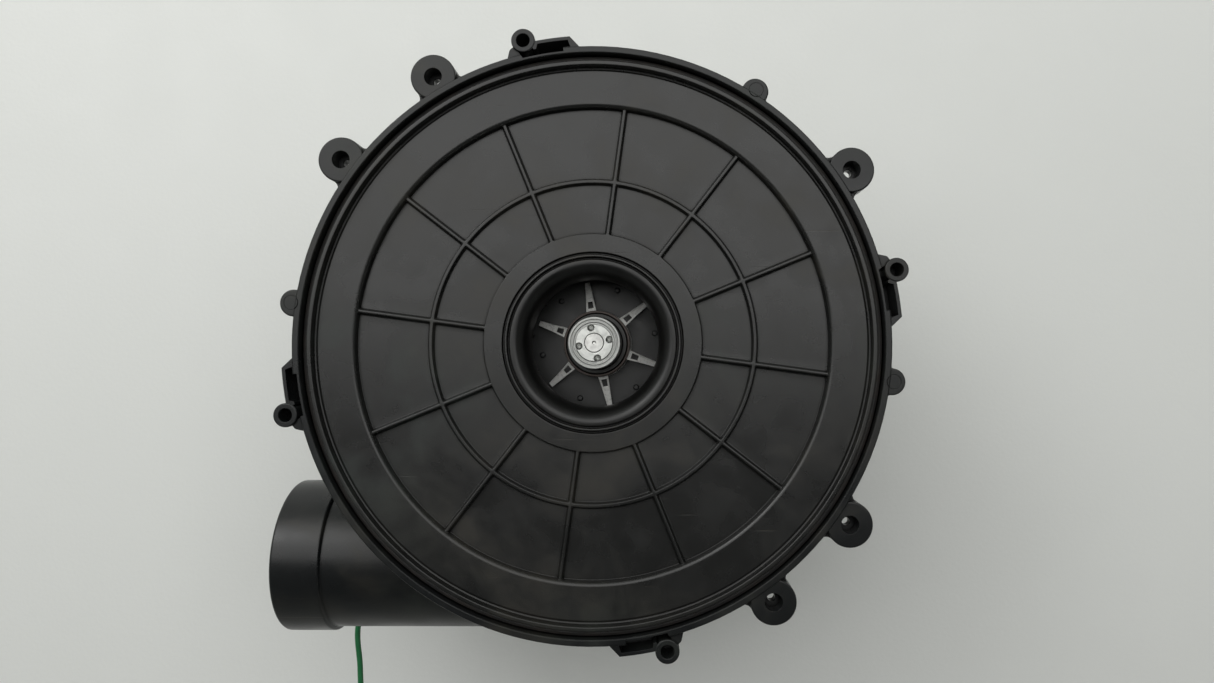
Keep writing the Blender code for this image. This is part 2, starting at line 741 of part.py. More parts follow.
def rotor_core(rotor):
    core = ring("rotor_core", ROTOR_R, ON_SHAFT_R, STATOR_Z[0] + 0.0007, STATOR_Z[1] - 0.0005)
    for k in range(CAGE_BARS):
        cut(core, cage_rod("cage_slot", CAGE_SLOT_R, k, 0.006))
    return finish(core, material("rotor_laminations", (0.30, 0.31, 0.33), 0.45, 0.9), rotor)


def rotor_cage(rotor):
    """Cast aluminium end rings joined by bars through the core."""
    cage = ring("rotor_cage", *CAGE_RING, STATOR_Z[1] - 0.0002, STATOR_Z[1] + 0.0030, SMALL)
    join(cage, ring("rear_end_ring", *CAGE_RING, STATOR_Z[0] - 0.0030, STATOR_Z[0] + 0.0004, SMALL))
    for k in range(CAGE_BARS):
        join(cage, cage_rod("cage_bar", CAGE_BAR_R, k, 0.001))
    return finish(cage, material("cast_aluminium", (0.55, 0.56, 0.57), 0.5, 1.0), rotor)


def thrust_washers(rotor):
    for name, low in WASHER_Z.items():
        washer = ring(name, WASHER_R, ON_SHAFT_R, low, low + WASHER_WALL, SMALL)
        finish(washer, material("natural_nylon", (0.80, 0.78, 0.70), 0.5), rotor)


def cooling_fan(rotor):
    web = FAN_Z + 0.0012
    fan = turned("cooling_fan", [
        (ON_SHAFT_R, FAN_Z + 0.008), (0.0075, FAN_Z + 0.008), (0.0080, web), (FAN_R, web), (FAN_R, FAN_Z),
        (ON_SHAFT_R, FAN_Z),
    ])
    for k in range(FAN_BLADES):
        angle = 360 / FAN_BLADES * k
        at = polar(FAN_R - FAN_BLADE[0] / 2 - 0.00025, angle, FAN_Z + FAN_BLADE[2] / 2 + 0.001)
        join(fan, block("fan_blade", FAN_BLADE, at, angle))
    return finish(fan, material("white_fan_plastic", (0.75, 0.75, 0.72), 0.5), rotor)


def heat_slinger(rotor):
    web = SLINGER_Z + 0.0012
    slinger = turned("heat_slinger", [
        (ON_SHAFT_R, SLINGER_Z + 0.0028), (0.0065, SLINGER_Z + 0.0028), (0.0065, web), (SLINGER_R, web),
        (SLINGER_R, SLINGER_Z), (ON_SHAFT_R, SLINGER_Z),
    ], SMALL)
    return finish(slinger, material("slinger_aluminium", (0.68, 0.69, 0.70), 0.35, 1.0), rotor)


# ---------------------------------------------------------------- motor

def bell_vents(bell, low, high):
    for angle in VENT_ANGLES:
        at = polar(MOTOR_R - 0.002, angle, (low + high) / 2)
        cut(bell, block("vent", (0.012, 0.016, high - low), at, angle))


def bolt_holes(target, low, high):
    for angle in BOLT_ANGLES:
        ends = [polar(BOLT_CIRCLE_R, angle, z) for z in (low, high)]
        cut(target, rod("bolt_hole", BOLT_HOLE_R, *ends, 8))


def rear_end_bell():
    top = STATOR_Z[0] - GAP
    bell = turned("rear_end_bell", [
        (MOTOR_R, top), (MOTOR_R, 0.0090), (0.0400, 0.0070), (0.0310, 0.0070), (0.0260, REAR_BELL_Z),
        (0.0123, REAR_BELL_Z), (0.0123, 0.0055), (0.0083, 0.0055), (0.0083, 0.0190), (0.0110, 0.0190),
        (0.0125, 0.0072), (0.0240, 0.0072), (0.0290, 0.0112), (MOTOR_SHELL_R, 0.0112), (MOTOR_SHELL_R, top),
    ])
    bell_vents(bell, 0.0135, 0.0225)
    bolt_holes(bell, 0.001, 0.013)
    exit_ends = [polar(radius, LEAD_EXIT_ANGLE, LEAD_Z) for radius in (0.036, 0.045)]
    cut(bell, rod("lead_exit", LEAD_EXIT_R, *exit_ends))
    return finish(bell, material("zinc_plated_bell", (0.52, 0.52, 0.50), 0.45, 0.9))


def front_end_bell():
    low = STATOR_Z[1] + GAP
    top = MOTOR_PLATE_Z[0] - GAP
    bell = turned("front_end_bell", [
        (0.0050, top), (0.0400, top), (MOTOR_R, 0.0780), (MOTOR_R, low), (MOTOR_SHELL_R, low),
        (MOTOR_SHELL_R, 0.0760), (0.0125, 0.0760), (0.0110, 0.0630), (0.0083, 0.0630), (0.0083, 0.0775),
        (0.0050, 0.0775),
    ])
    bell_vents(bell, 0.0600, 0.0710)
    bolt_holes(bell, 0.074, 0.082)
    return finish(bell, material("zinc_plated_bell", (0.52, 0.52, 0.50), 0.45, 0.9))


def slot_outline(angle, grow=0.0):
    """Four-sided winding slot, larger by the given gap all round."""
    half = 5 + grow * 2200
    return sector(0.0230 - grow, 0.0285 + grow, angle - half, angle + half, 2)


def stator_core():
    slots = [slot_outline(30 * k, GAP) for k in range(12)]
    holes = [circle(polar(BOLT_CIRCLE_R, angle).xy, BOLT_HOLE_R, 8) for angle in BOLT_ANGLES]
    edge = circle((0, 0), MOTOR_R, MEDIUM)
    core = plate("stator_core", [edge, circle((0, 0), STATOR_BORE_R, MEDIUM), *slots, *holes], *STATOR_Z)
    return finish(core, material("stator_laminations", (0.28, 0.28, 0.30), 0.5, 0.9))


def stator_winding():
    """Copper coils: the end turns front and rear, joined through the core's slots."""
    low, high = STATOR_Z
    winding = ring("stator_winding", *END_TURNS, high + 0.0010, high + 0.0100)
    join(winding, ring("rear_turns", *END_TURNS, low - 0.0100, low - 0.0010))
    for k in range(12):
        join(winding, plate("coil_side", [slot_outline(30 * k)], low - 0.005, high + 0.005))
    return finish(winding, material("enamelled_copper", (0.45, 0.17, 0.07), 0.35, 0.8))


def bearings():
    for name, (low, high) in BEARING_Z.items():
        bearing = ring(name, BEARING_R, BEARING_BORE_R, low, high)
        finish(bearing, material("sintered_bronze", (0.42, 0.27, 0.12), 0.45, 0.9))


def rear_dust_cap():
    cap = turned("rear_dust_cap", [
        (0.0, 0.0042), (0.0120, 0.0042), (0.0120, 0.0025), (0.0150, 0.0025), (0.0150, 0.0), (0.0, 0.0),
    ])
    return finish(cap, material("black_cap_plastic", (0.02, 0.02, 0.02), 0.5))


def through_bolts():
    for number, angle in enumerate(BOLT_ANGLES, 1):
        bolt = rod(f"through_bolt_{number}", BOLT_R, *[polar(BOLT_CIRCLE_R, angle, z) for z in BOLT_Z], 8)
        head_ends = [polar(BOLT_CIRCLE_R, angle, z) for z in BOLT_HEAD_Z]
        join(bolt, rod("bolt_head", BOLT_HEAD_R, *head_ends, 6))
        finish(bolt, material("zinc_plated_steel", (0.60, 0.60, 0.58), 0.35, 1.0))
        nut = ring(f"bolt_nut_{number}", NUT_R, BOLT_HOLE_R, *NUT_Z, 6)
        nut.location = polar(BOLT_CIRCLE_R, angle)
        finish(nut, material("zinc_plated_steel", (0.60, 0.60, 0.58), 0.35, 1.0))


def motor_plate():
    """Steel plate between the motor and the housing, with vents, grommet holes and an earth hole."""
    holes = [circle(polar(PLATE_SCREW_CIRCLE_R, angle).xy, 0.0052) for angle in PLATE_SCREW_ANGLES]
    holes += [circle(polar(BOLT_CIRCLE_R, angle).xy, BOLT_HOLE_R, 8) for angle in BOLT_ANGLES]
    holes += [sector(0.0170, 0.0290, 60 * k + 8, 60 * k + 52, 4) for k in range(6)]
    holes.append(circle((0, 0), 0.0100, SMALL))
    holes.append(circle(polar(GROUND_R, GROUND_ANGLE).xy, 0.0020, 8))
    made = plate("motor_plate", [circle((0, 0), MOTOR_PLATE_R, LARGE), *holes], *MOTOR_PLATE_Z)
    return finish(made, material("galvanised_plate", (0.55, 0.56, 0.57), 0.4, 1.0))


def isolators_and_screws():
    low, high = MOTOR_PLATE_Z[0] - GAP, MOTOR_PLATE_Z[1] + GAP
    bottom, top = ISOLATOR_Z
    for number, angle in enumerate(PLATE_SCREW_ANGLES, 1):
        at = polar(PLATE_SCREW_CIRCLE_R, angle)
        bush = turned(f"plate_isolator_{number}", [
            (ISOLATOR_R, top), (ISOLATOR_R, high), (ISOLATOR_WAIST_R, high), (ISOLATOR_WAIST_R, low),
            (ISOLATOR_R, low), (ISOLATOR_R, bottom), (ISOLATOR_BORE_R, bottom), (ISOLATOR_BORE_R, top),
        ], TINY)
        bush.location = at
        finish(bush, material("grey_rubber", (0.05, 0.05, 0.055), 0.8))
        screw = turned(f"plate_screw_{number}", [
            (0.0, 0.0890), (0.0020, 0.0886), (0.0020, bottom - GAP), (0.0045, bottom - GAP),
            (0.0044, 0.0768), (0.0032, 0.0757), (0.0, 0.0755),
        ], TINY)
        screw.location = at
        slot = block("screw_slot", (0.0070, 0.0010, 0.0012), (at.x, at.y, 0.0757), 30)
        cut(screw, slot)
        finish(screw, material("zinc_plated_steel", (0.60, 0.60, 0.58), 0.35, 1.0))


# ---------------------------------------------------------------- wiring

def ground_parts():
    """Earth screw, ring terminal and the green wire that runs out behind the pipe."""
    at = polar(GROUND_R, GROUND_ANGLE)
    low = MOTOR_PLATE_Z[0]
    terminal_top = low - GAP
    screw = turned("ground_screw", [
        (0.0, low + 0.0050), (0.0016, low + 0.0048), (0.0016, low - 0.0015), (0.0036, low - 0.0015),
        (0.0034, low - 0.0035), (0.0, low - 0.0038),
    ], TINY)
    screw.location = at
    finish(screw, material("green_zinc_screw", (0.10, 0.30, 0.12), 0.4, 0.7))
    outward = polar(1.0, GROUND_ANGLE)
    terminal = ring("ground_terminal", 0.0040, 0.0021, low - 0.0012, terminal_top, TINY)
    terminal.location = at
    tongue_centre = at + outward * 0.0060 + Vector((0, 0, terminal_top - 0.00045))
    join(terminal, block("terminal_tongue", (0.0060, 0.0034, 0.0008), tongue_centre, GROUND_ANGLE))
    barrel_start = at + outward * 0.0080 + Vector((0, 0, low - 0.0022))
    barrel_end = at + outward * 0.0150 + Vector((0, 0, low - 0.0022))
    join(terminal, rod("terminal_barrel", 0.0021, barrel_start, barrel_end, 8))
    finish(terminal, material("tinned_terminal", (0.66, 0.66, 0.64), 0.35, 1.0))
    start = barrel_end + outward * 0.0003
    corners = [start, start + outward * 0.010] + [Vector(point) for point in GROUND_WIRE_WAYPOINTS]
    made = wire("ground_wire", GROUND_WIRE_R, smooth_path(corners, 3))
    finish(made, material("green_wire_jacket", (0.02, 0.16, 0.06), 0.45))


def lead_parts():
    """Two motor leads through a bushing to a two-way plug."""
    outward = polar(1.0, LEAD_EXIT_ANGLE)
    across = Vector((outward.y, -outward.x, 0.0))
    bushing = turned("lead_bushing", [
        (0.0060, 0.0012), (0.0060, 0.0003), (0.0043, 0.0003), (0.0043, -0.0045), (0.0032, -0.0045),
        (0.0032, 0.0012),
    ], TINY)
    turn = outward.to_track_quat("Z", "Y").to_matrix().to_4x4()
    bushing.matrix_world = Matrix.Translation(polar(MOTOR_R + 0.0002, LEAD_EXIT_ANGLE, LEAD_Z)) @ turn
    finish(bushing, material("black_bushing", (0.02, 0.02, 0.02), 0.6))
    plug = block("lead_plug", PLUG_SIZE, PLUG_AT, PLUG_ANGLE)
    plug_turn = Matrix.Rotation(radians(PLUG_ANGLE), 3, "Z")
    inward = plug_turn @ Vector((0, -1, 0))
    for side, name, color in (
        (-1, "lead_wire_black", (0.015, 0.015, 0.015)), (1, "lead_wire_white", (0.75, 0.75, 0.73)),
    ):
        mouth = Vector(PLUG_AT) + plug_turn @ Vector((side * 0.0035, PLUG_SIZE[1] / 2, 0.0))
        front = mouth + inward * PLUG_SIZE[1]
        cut(plug, rod("lead_socket", 0.0020, mouth - inward * OVER, mouth + inward * 0.006, 8))
        cut(plug, rod("contact_hole", 0.0019, front + inward * OVER, front - inward * 0.010, 8))
        apart = across * side * 0.0016
        lift = Vector((0.0, 0.0, side * 0.0017))
        height = Vector((0.0, 0.0, LEAD_Z))
        corners = [
            outward * 0.0380 + apart + height, outward * 0.0480 + apart + height,
            outward * 0.0640 + apart * 0.5 + lift + height,
            Vector((-0.0560 + side * 0.002, 0.0800 - side * 0.003, 0.0260)) + lift,
            mouth - inward * (0.009 - side * 0.002), mouth - inward * 0.003, mouth + inward * 0.004,
        ]
        made = wire(name, LEAD_R, smooth_path(corners, 3))
        finish(made, material(name + "_jacket", color, 0.45))
    finish(plug, material("white_nylon_plug", (0.80, 0.80, 0.77), 0.45))


def main():
    global PARTS, CUTTERS
    clear_scene()
    PARTS = new_collection("combustion_fan")
    CUTTERS = new_collection("cutters")
    rotor = bpy.data.objects.new("rotor_axis", None)
    PARTS.objects.link(rotor)

    volute_housing()
    inlet_cover()
    cover_seal()
    shaft_seal()
    motor_plate()
    isolators_and_screws()
    front_end_bell()
    rear_end_bell()
    stator_core()
    stator_winding()
    bearings()
    through_bolts()
    rear_dust_cap()
    ground_parts()
    lead_parts()

    shaft(rotor)
    rotor_core(rotor)
    rotor_cage(rotor)
    thrust_washers(rotor)
    cooling_fan(rotor)
    heat_slinger(rotor)
    impeller(rotor)
    hub_insert(rotor)
    hub_spider(rotor)


main()
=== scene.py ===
"""Looks of the combustion fan: fine meshes, procedural materials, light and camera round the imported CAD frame.

Metres, +Z up.  The shaft axis is Z, the inlet looks along +Z and the outlet pipe along -X.
"""

import json
import random
from math import acos, asin, atan2, cos, pi, radians, sin, tan

import bmesh
import bpy
from mathutils import Matrix, Vector

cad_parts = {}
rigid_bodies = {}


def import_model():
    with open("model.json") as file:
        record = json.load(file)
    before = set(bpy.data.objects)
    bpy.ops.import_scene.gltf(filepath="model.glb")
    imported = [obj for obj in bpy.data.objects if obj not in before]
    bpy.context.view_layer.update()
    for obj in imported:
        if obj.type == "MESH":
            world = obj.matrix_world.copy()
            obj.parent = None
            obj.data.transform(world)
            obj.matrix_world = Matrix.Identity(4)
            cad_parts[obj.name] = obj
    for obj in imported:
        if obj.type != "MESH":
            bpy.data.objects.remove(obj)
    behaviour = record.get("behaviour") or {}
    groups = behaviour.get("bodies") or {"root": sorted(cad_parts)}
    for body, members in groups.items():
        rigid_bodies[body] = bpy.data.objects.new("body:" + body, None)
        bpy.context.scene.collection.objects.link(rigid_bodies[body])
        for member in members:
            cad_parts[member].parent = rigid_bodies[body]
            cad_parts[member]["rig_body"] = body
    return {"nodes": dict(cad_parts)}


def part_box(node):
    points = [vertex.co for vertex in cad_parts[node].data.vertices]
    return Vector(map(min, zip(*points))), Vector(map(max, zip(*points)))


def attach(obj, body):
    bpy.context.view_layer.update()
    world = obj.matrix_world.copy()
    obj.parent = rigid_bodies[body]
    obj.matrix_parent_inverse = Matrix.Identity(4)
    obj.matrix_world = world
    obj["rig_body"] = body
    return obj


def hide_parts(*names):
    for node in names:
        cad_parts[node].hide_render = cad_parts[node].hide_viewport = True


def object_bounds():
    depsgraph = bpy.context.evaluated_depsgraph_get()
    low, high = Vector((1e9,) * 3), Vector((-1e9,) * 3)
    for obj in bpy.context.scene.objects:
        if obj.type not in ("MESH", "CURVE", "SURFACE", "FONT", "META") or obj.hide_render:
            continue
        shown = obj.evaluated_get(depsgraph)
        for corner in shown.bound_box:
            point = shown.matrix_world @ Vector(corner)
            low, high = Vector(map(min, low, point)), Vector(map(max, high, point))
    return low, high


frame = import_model()
cad_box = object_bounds()

GAP = 0.0003
MERGE = 0.000002
ROUND = 0.0003

# Steps round a full turn.
COARSE = 32
FINE = 64
FINEST = 144


def low(node):
    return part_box(node)[0]


def high(node):
    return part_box(node)[1]


# ---------------------------------------------------------------- sizes

# Rim flange of the housing.
RIM_WALL = 0.0028
RIM_INNER_R = high("cover_seal").x + GAP
RIM_R = RIM_INNER_R + RIM_WALL
RIM_Z = high("volute_housing").z
FLANGE_Z = RIM_Z - 0.0125
DECK_Z = low("cover_seal").z - GAP
EAR_ANGLES = (33.6, 121.0, 144.0, 305.1, 324.8)
EAR_LOBE = (0.1275, 0.0093, 0.0035)
EAR_DROP = 0.0004
EAR_HOLE_R = 0.0016
EAR_COUNTERBORE_R = 0.0036
EAR_COUNTERBORE_DEPTH = 0.008
TAB_ANGLES = (57.0, 172.5, 352.5)
TAB_LOBE = (0.1228, 0.0055, 0.0020)
BOSS_ANGLES = (13.4, 103.0, 193.4, 283.9)
BOSS_CIRCLE_R = 0.1276
BOSS_R = 0.0049
BOSS_HOLE_R = 0.00267
LATCH_WALL_R = 0.1265
LATCH_WALL = 0.0015
WEB_DROP = 0.0022

# Scroll and outlet.
FLOOR_Z = low("volute_housing").z + 0.004
FLOOR_WALL = 0.0035
SCROLL_WALL = 0.0025
SCROLL_START_R = 0.0955
SCROLL_END_R = 0.1251
SCROLL_END_ANGLE = 270.0
TONGUE_ANGLE = 221.5
DECK_OPENING_R = 0.093
DOME_R = 0.036
DOME_FOOT_R = 0.047
DOME_RISE = 0.0125
SHAFT_HOLE_R = 0.007
PIPE_Y = -0.0942
PIPE_Z = 0.119
PIPE_R = 0.0309
PIPE_BORE_R = 0.0284
PIPE_END_X = low("volute_housing").x
COLLAR_R = 0.0325
COLLAR_LENGTH = 0.0203
LOFT_END_X = -0.057

# Inlet cover.
LIP_R = high("inlet_cover").x
LIP_Z = high("inlet_cover").z
LIP_INNER_R = LIP_R - 0.002
BAND_OUTER_Z = LIP_Z - 0.0032
BAND_INNER_Z = LIP_Z - 0.0034
STEP_R = 0.0975
PANEL_OUTER_Z = 0.1528
PANEL_INNER_Z = 0.1520
RIB_HEIGHT = 0.002
RIB_WIDTH = 0.0027
RIB_CREST = 0.0012
RIB_COUNT = 12
RIB_START_ANGLE = 22.3
# Half section of a radial rib: distance from its centre line and share of its height.
RIB_SECTION = ((0.00165, 0.0), (RIB_WIDTH / 2, 0.05), (RIB_CREST / 2, 0.94), (RIB_CREST / 2 - 0.0002, 1.0))
RING_RIB_R = 0.067
HUB_LAND_R = 0.0453
BEAD_R = 0.0359
BELL_CREST_R = 0.0332
BELL_CREST_Z = 0.1539
BELL_DROP = 0.0125
THROAT_R = 0.0273
NECK_WALL = 0.0017
THROAT_END_Z = low("inlet_cover").z
COVER_WALL = 0.0023

# Wheel and hub.
IMPELLER_R = high("impeller").x
SHROUD_EYE_Z = high("impeller").z
SHROUD_TIP_Z = SHROUD_EYE_Z - 0.0052
SHROUD_WALL = 0.002
EYE_R = 0.0295
BACKPLATE_WALL = 0.0022
BACKPLATE_TIP_Z = low("impeller").z + BACKPLATE_WALL
BACKPLATE_Z = BACKPLATE_TIP_Z + 0.013
BACKPLATE_FLAT_R = 0.034
BLADE_COUNT = 12
BLADE_START_ANGLE = 21.8
BLADE_SWEEP = 52.0
BLADE_INNER_R = 0.0302
BLADE_WIDTH = 0.0018
HUB_R = 0.0112
HUB_RING_R = 0.0134
HUB_RING_Z = high("hub_spider").z + 0.0008
HUB_TOP_Z = high("hub_insert").z
HUB_LOW_Z = low("hub_insert").z
HUB_FLANGE_R = high("hub_insert").x
HUB_HOLE_CIRCLE_R = 0.0066
HUB_HOLE_R = 0.0014
HUB_HOLE_ANGLE = 12.3
FIN_COUNT = 6
FIN_START_ANGLE = 40.5
FIN_END_R = 0.0288

# Shaft and motor.
SHAFT_R = high("shaft").x
ON_SHAFT_R = SHAFT_R + GAP
MOTOR_R = high("stator_core").x
SHELL_R = MOTOR_R - 0.003
BOLT_CIRCLE_R = 0.036
BOLT_ANGLES = (45, 135, 225, 315)
BOLT_R = 0.002
BOLT_HOLE_R = 0.0024
VENT_ANGLES = (0, 90, 180, 270)
PLATE_R = high("motor_plate").x
PLATE_LOW = low("motor_plate").z
PLATE_HIGH = high("motor_plate").z
PLATE_SCREW_CIRCLE_R = 0.056
PLATE_SCREW_ANGLES = (0, 90, 180, 270)
GROUND_ANGLE = 225
GROUND_R = 0.059
GROUND_WIRE_WAYPOINTS = (
    (-0.0850, -0.0860, 0.0700),
    (-0.1130, -0.1160, 0.0620),
    (-0.1272, -0.1420, 0.0600),
    (-0.1265, -0.1660, 0.0600),
    (-0.1253, -0.1900, 0.0600),
)
LEAD_EXIT_ANGLE = 113

# Camera: lens and lens shift in picture widths, the eye's place, and where it looks on the rim's plane.
LENS_WIDTHS = 0.692
LENS_SHIFT = (-0.0353, -0.0128)
EYE = Vector((0.0246, -0.0068, 0.5006))
LOOK_AT = Vector((0.0236, 0.0066, RIM_Z))


# ---------------------------------------------------------------- outlines

def polar(radius, degrees, height=0.0):
    angle = radians(degrees)
    return Vector((radius * cos(angle), radius * sin(angle), height))


def arc(centre, radius, start, end, count):
    """Points on an arc from one angle to another, in radians."""
    angles = [start + (end - start) * i / (count - 1) for i in range(count)]
    return [(centre[0] + radius * cos(a), centre[1] + radius * sin(a)) for a in angles]


def circle(centre, radius, count=COARSE):
    return arc(centre, radius, 0.0, 2 * pi * (count - 1) / count, count)


def sector(inner, outer, first, last, count=12):
    """Outline of a ring sector, angles in degrees."""
    return arc((0, 0), outer, radians(first), radians(last), count) + arc(
        (0, 0), inner, radians(last), radians(first), count
    )


def rounded(corners, radius=ROUND, closed=True, segments=4):
    """Outline through (x, y) or (x, y, radius) corners, each corner rounded to its own radius."""
    points = []
    count = len(corners)
    for i, corner in enumerate(corners):
        here = Vector(corner[:2])
        wanted = corner[2] if len(corner) > 2 else radius
        at_end = not closed and i in (0, count - 1)
        if wanted <= 0 or at_end:
            points.append((here.x, here.y))
            continue
        before = Vector(corners[i - 1][:2]) - here
        after = Vector(corners[(i + 1) % count][:2]) - here
        half = before.angle(after) / 2
        if half > radians(87):
            points.append((here.x, here.y))
            continue
        reach = min(wanted / tan(half), 0.48 * before.length, 0.48 * after.length)
        bend = reach * tan(half)
        middle = (before.normalized() + after.normalized()).normalized()
        centre = here + middle * (bend / sin(half))
        start = here + before.normalized() * reach - centre
        end = here + after.normalized() * reach - centre
        first = atan2(start.y, start.x)
        turn = (atan2(end.y, end.x) - first + pi) % (2 * pi) - pi
        points += arc(centre, bend, first, first + turn, segments + 1)
    return points


def smooth_path(corners, per_span=10):
    """Catmull-Rom path through the corners."""
    ends = [2 * corners[0] - corners[1], *corners, 2 * corners[-1] - corners[-2]]
    path = []
    for a, b, c, d in zip(ends, ends[1:], ends[2:], ends[3:]):
        for step in range(per_span):
            t = step / per_span
            cubic = (3 * b - a - 3 * c + d) * t**3
            square = (2 * a - 5 * b + 4 * c - d) * t**2
            path.append(0.5 * (2 * b + (c - a) * t + square + cubic))
    return [*path, corners[-1]]


# ---------------------------------------------------------------- meshes

def link(name, data):
    obj = bpy.data.objects.new(name, data)
    bpy.context.scene.collection.objects.link(obj)
    return obj


def from_bmesh(name, shape):
    bmesh.ops.recalc_face_normals(shape, faces=list(shape.faces))
    mesh = bpy.data.meshes.new(name)
    shape.to_mesh(mesh)
    shape.free()
    return link(name, mesh)


def skin(name, rings, closed_loop=False, capped=True):
    """Faces between rings of equally many points.  A ring of one point is a pole."""
    shape = bmesh.new()
    made = [[shape.verts.new(point) for point in ring] for ring in rings]
    pairs = list(zip(made, made[1:]))
    if closed_loop:
        pairs.append((made[-1], made[0]))
    for first, second in pairs:
        count = max(len(first), len(second))
        for i in range(count):
            j = (i + 1) % count
            corners = []
            for ring, index in ((first, i), (first, j), (second, j), (second, i)):
                vert = ring[index % len(ring)]
                if vert not in corners:
                    corners.append(vert)
            if len(corners) > 2:
                shape.faces.new(corners)
    if capped and not closed_loop:
        for ring in (made[0], made[-1]):
            if len(ring) > 2:
                shape.faces.new(ring)
    return from_bmesh(name, shape)


def lathe(name, profile, steps=FINE, centre=(0.0, 0.0), closed=True):
    """Turned mesh about a line parallel to Z, from (radius, height) points."""
    rings = []
    for radius, height in profile:
        if radius <= 0:
            rings.append([Vector((centre[0], centre[1], height))])
            continue
        ring = circle(centre, radius, steps)
        rings.append([Vector((x, y, height)) for x, y in ring])
    return skin(name, rings, closed_loop=closed, capped=False)


def turned(name, corners, steps=FINE, radius=ROUND, centre=(0.0, 0.0)):
    """Turned solid with rounded corners.  A profile that starts and ends on the axis is open there."""
    on_axis = corners[0][0] <= 0 and corners[-1][0] <= 0
    profile = rounded(corners, radius, closed=not on_axis)
    return lathe(name, profile, steps, centre, closed=not on_axis)


def ring_solid(name, outer, inner, bottom, top, steps=FINE, radius=ROUND):
    return turned(name, [(outer, top), (outer, bottom), (inner, bottom), (inner, top)], steps, radius)


def plate(name, outlines, bottom, top, edge=0.0, segments=3):
    """Flat solid with rounded edges between two heights.  The first outline is the edge and the others are holes."""
    curve = bpy.data.curves.new(name, "CURVE")
    curve.dimensions = "2D"
    curve.fill_mode = "BOTH"
    curve.extrude = (top - bottom) / 2 - edge
    curve.bevel_depth = edge
    curve.bevel_resolution = segments
    curve.offset = -edge
    for outline in outlines:
        spline = curve.splines.new("POLY")
        spline.points.add(len(outline) - 1)
        for point, (x, y) in zip(spline.points, outline):
            point.co = (x, y, 0.0, 1.0)
        spline.use_cyclic_u = True
    obj = link(name, curve)
    obj.location.z = (top + bottom) / 2
    return meshed(obj)


def tube(name, radius, points, closed=False, sides=4):
    """Round wire through the given points."""
    curve = bpy.data.curves.new(name, "CURVE")
    curve.dimensions = "3D"
    curve.bevel_depth = radius
    curve.bevel_resolution = sides
    curve.use_fill_caps = not closed
    spline = curve.splines.new("POLY")
    spline.points.add(len(points) - 1)
    for point, place in zip(spline.points, points):
        point.co = (*place, 1.0)
    spline.use_cyclic_u = closed
    return meshed(link(name, curve))


def meshed(curve_object):
    """Replaces a curve object with its welded mesh, in world coordinates."""
    bpy.context.view_layer.update()
    graph = bpy.context.evaluated_depsgraph_get()
    mesh = bpy.data.meshes.new_from_object(curve_object.evaluated_get(graph))
    mesh.transform(curve_object.matrix_world)
    name = curve_object.name
    bpy.data.objects.remove(curve_object, do_unlink=True)
    shape = bmesh.new()
    shape.from_mesh(mesh)
    bpy.data.meshes.remove(mesh)
    bmesh.ops.remove_doubles(shape, verts=list(shape.verts), dist=MERGE)
    return from_bmesh(name, shape)


def moved(obj, matrix):
    obj.data.transform(matrix)
    return obj


def copies(obj, count, first=0.0):
    """The object and its copies turned evenly about Z, the first one turned by an angle in degrees."""
    turned_ones = []
    for k in range(count):
        mesh = obj.data.copy()
        mesh.transform(Matrix.Rotation(radians(first + 360 / count * k), 4, "Z"))
        turned_ones.append(link(f"{obj.name}_{k}", mesh))
    bpy.data.objects.remove(obj, do_unlink=True)
    return turned_ones


def merged(name, objects):
    """One object that holds the meshes of several."""
    shape = bmesh.new()
    for obj in objects:
        shape.from_mesh(obj.data)
        bpy.data.objects.remove(obj, do_unlink=True)
    return from_bmesh(name, shape)


def boolean(target, operation, helpers):
    """Joins or cuts the helpers, then keeps the result as plain mesh."""
    for helper in helpers:
        modifier = target.modifiers.new(helper.name, "BOOLEAN")
        modifier.operation = operation
        modifier.solver = "EXACT"
        modifier.object = helper
    bpy.context.view_layer.update()
    graph = bpy.context.evaluated_depsgraph_get()
    mesh = bpy.data.meshes.new_from_object(target.evaluated_get(graph))
    target.modifiers.clear()
    target.data = mesh
    for helper in helpers:
        bpy.data.objects.remove(helper, do_unlink=True)
    return target


def join(target, *helpers):
    return boolean(target, "UNION", helpers)


def cut(target, *helpers):
    return boolean(target, "DIFFERENCE", helpers)


def tidy_mesh(obj):
    """Welds doubled points and merges coplanar faces, so that the mesh is closed and light."""
    shape = bmesh.new()
    shape.from_mesh(obj.data)
    bmesh.ops.remove_doubles(shape, verts=list(shape.verts), dist=MERGE)
    bmesh.ops.dissolve_degenerate(shape, edges=list(shape.edges), dist=MERGE)
    bmesh.ops.dissolve_limit(
        shape, angle_limit=radians(0.3), verts=list(shape.verts), edges=list(shape.edges), use_dissolve_boundaries=False
    )
    shape.to_mesh(obj.data)
    shape.free()


def dress(obj, node, material):
    """Makes obj the visible piece for a CAD node: smooth shading, material and body, with the CAD part hidden."""
    mesh = obj.data
    mesh.materials.clear()
    mesh.materials.append(material)
    mesh.polygons.foreach_set("material_index", [0] * len(mesh.polygons))
    mesh.shade_smooth()
    mesh.set_sharp_from_angle(angle=radians(38))
    weighted = obj.modifiers.new("Even shading", "WEIGHTED_NORMAL")
    weighted.keep_sharp = True
    weighted.weight = 80
    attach(obj, frame["nodes"][node]["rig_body"])
    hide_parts(node)
    return obj


# ---------------------------------------------------------------- shaders

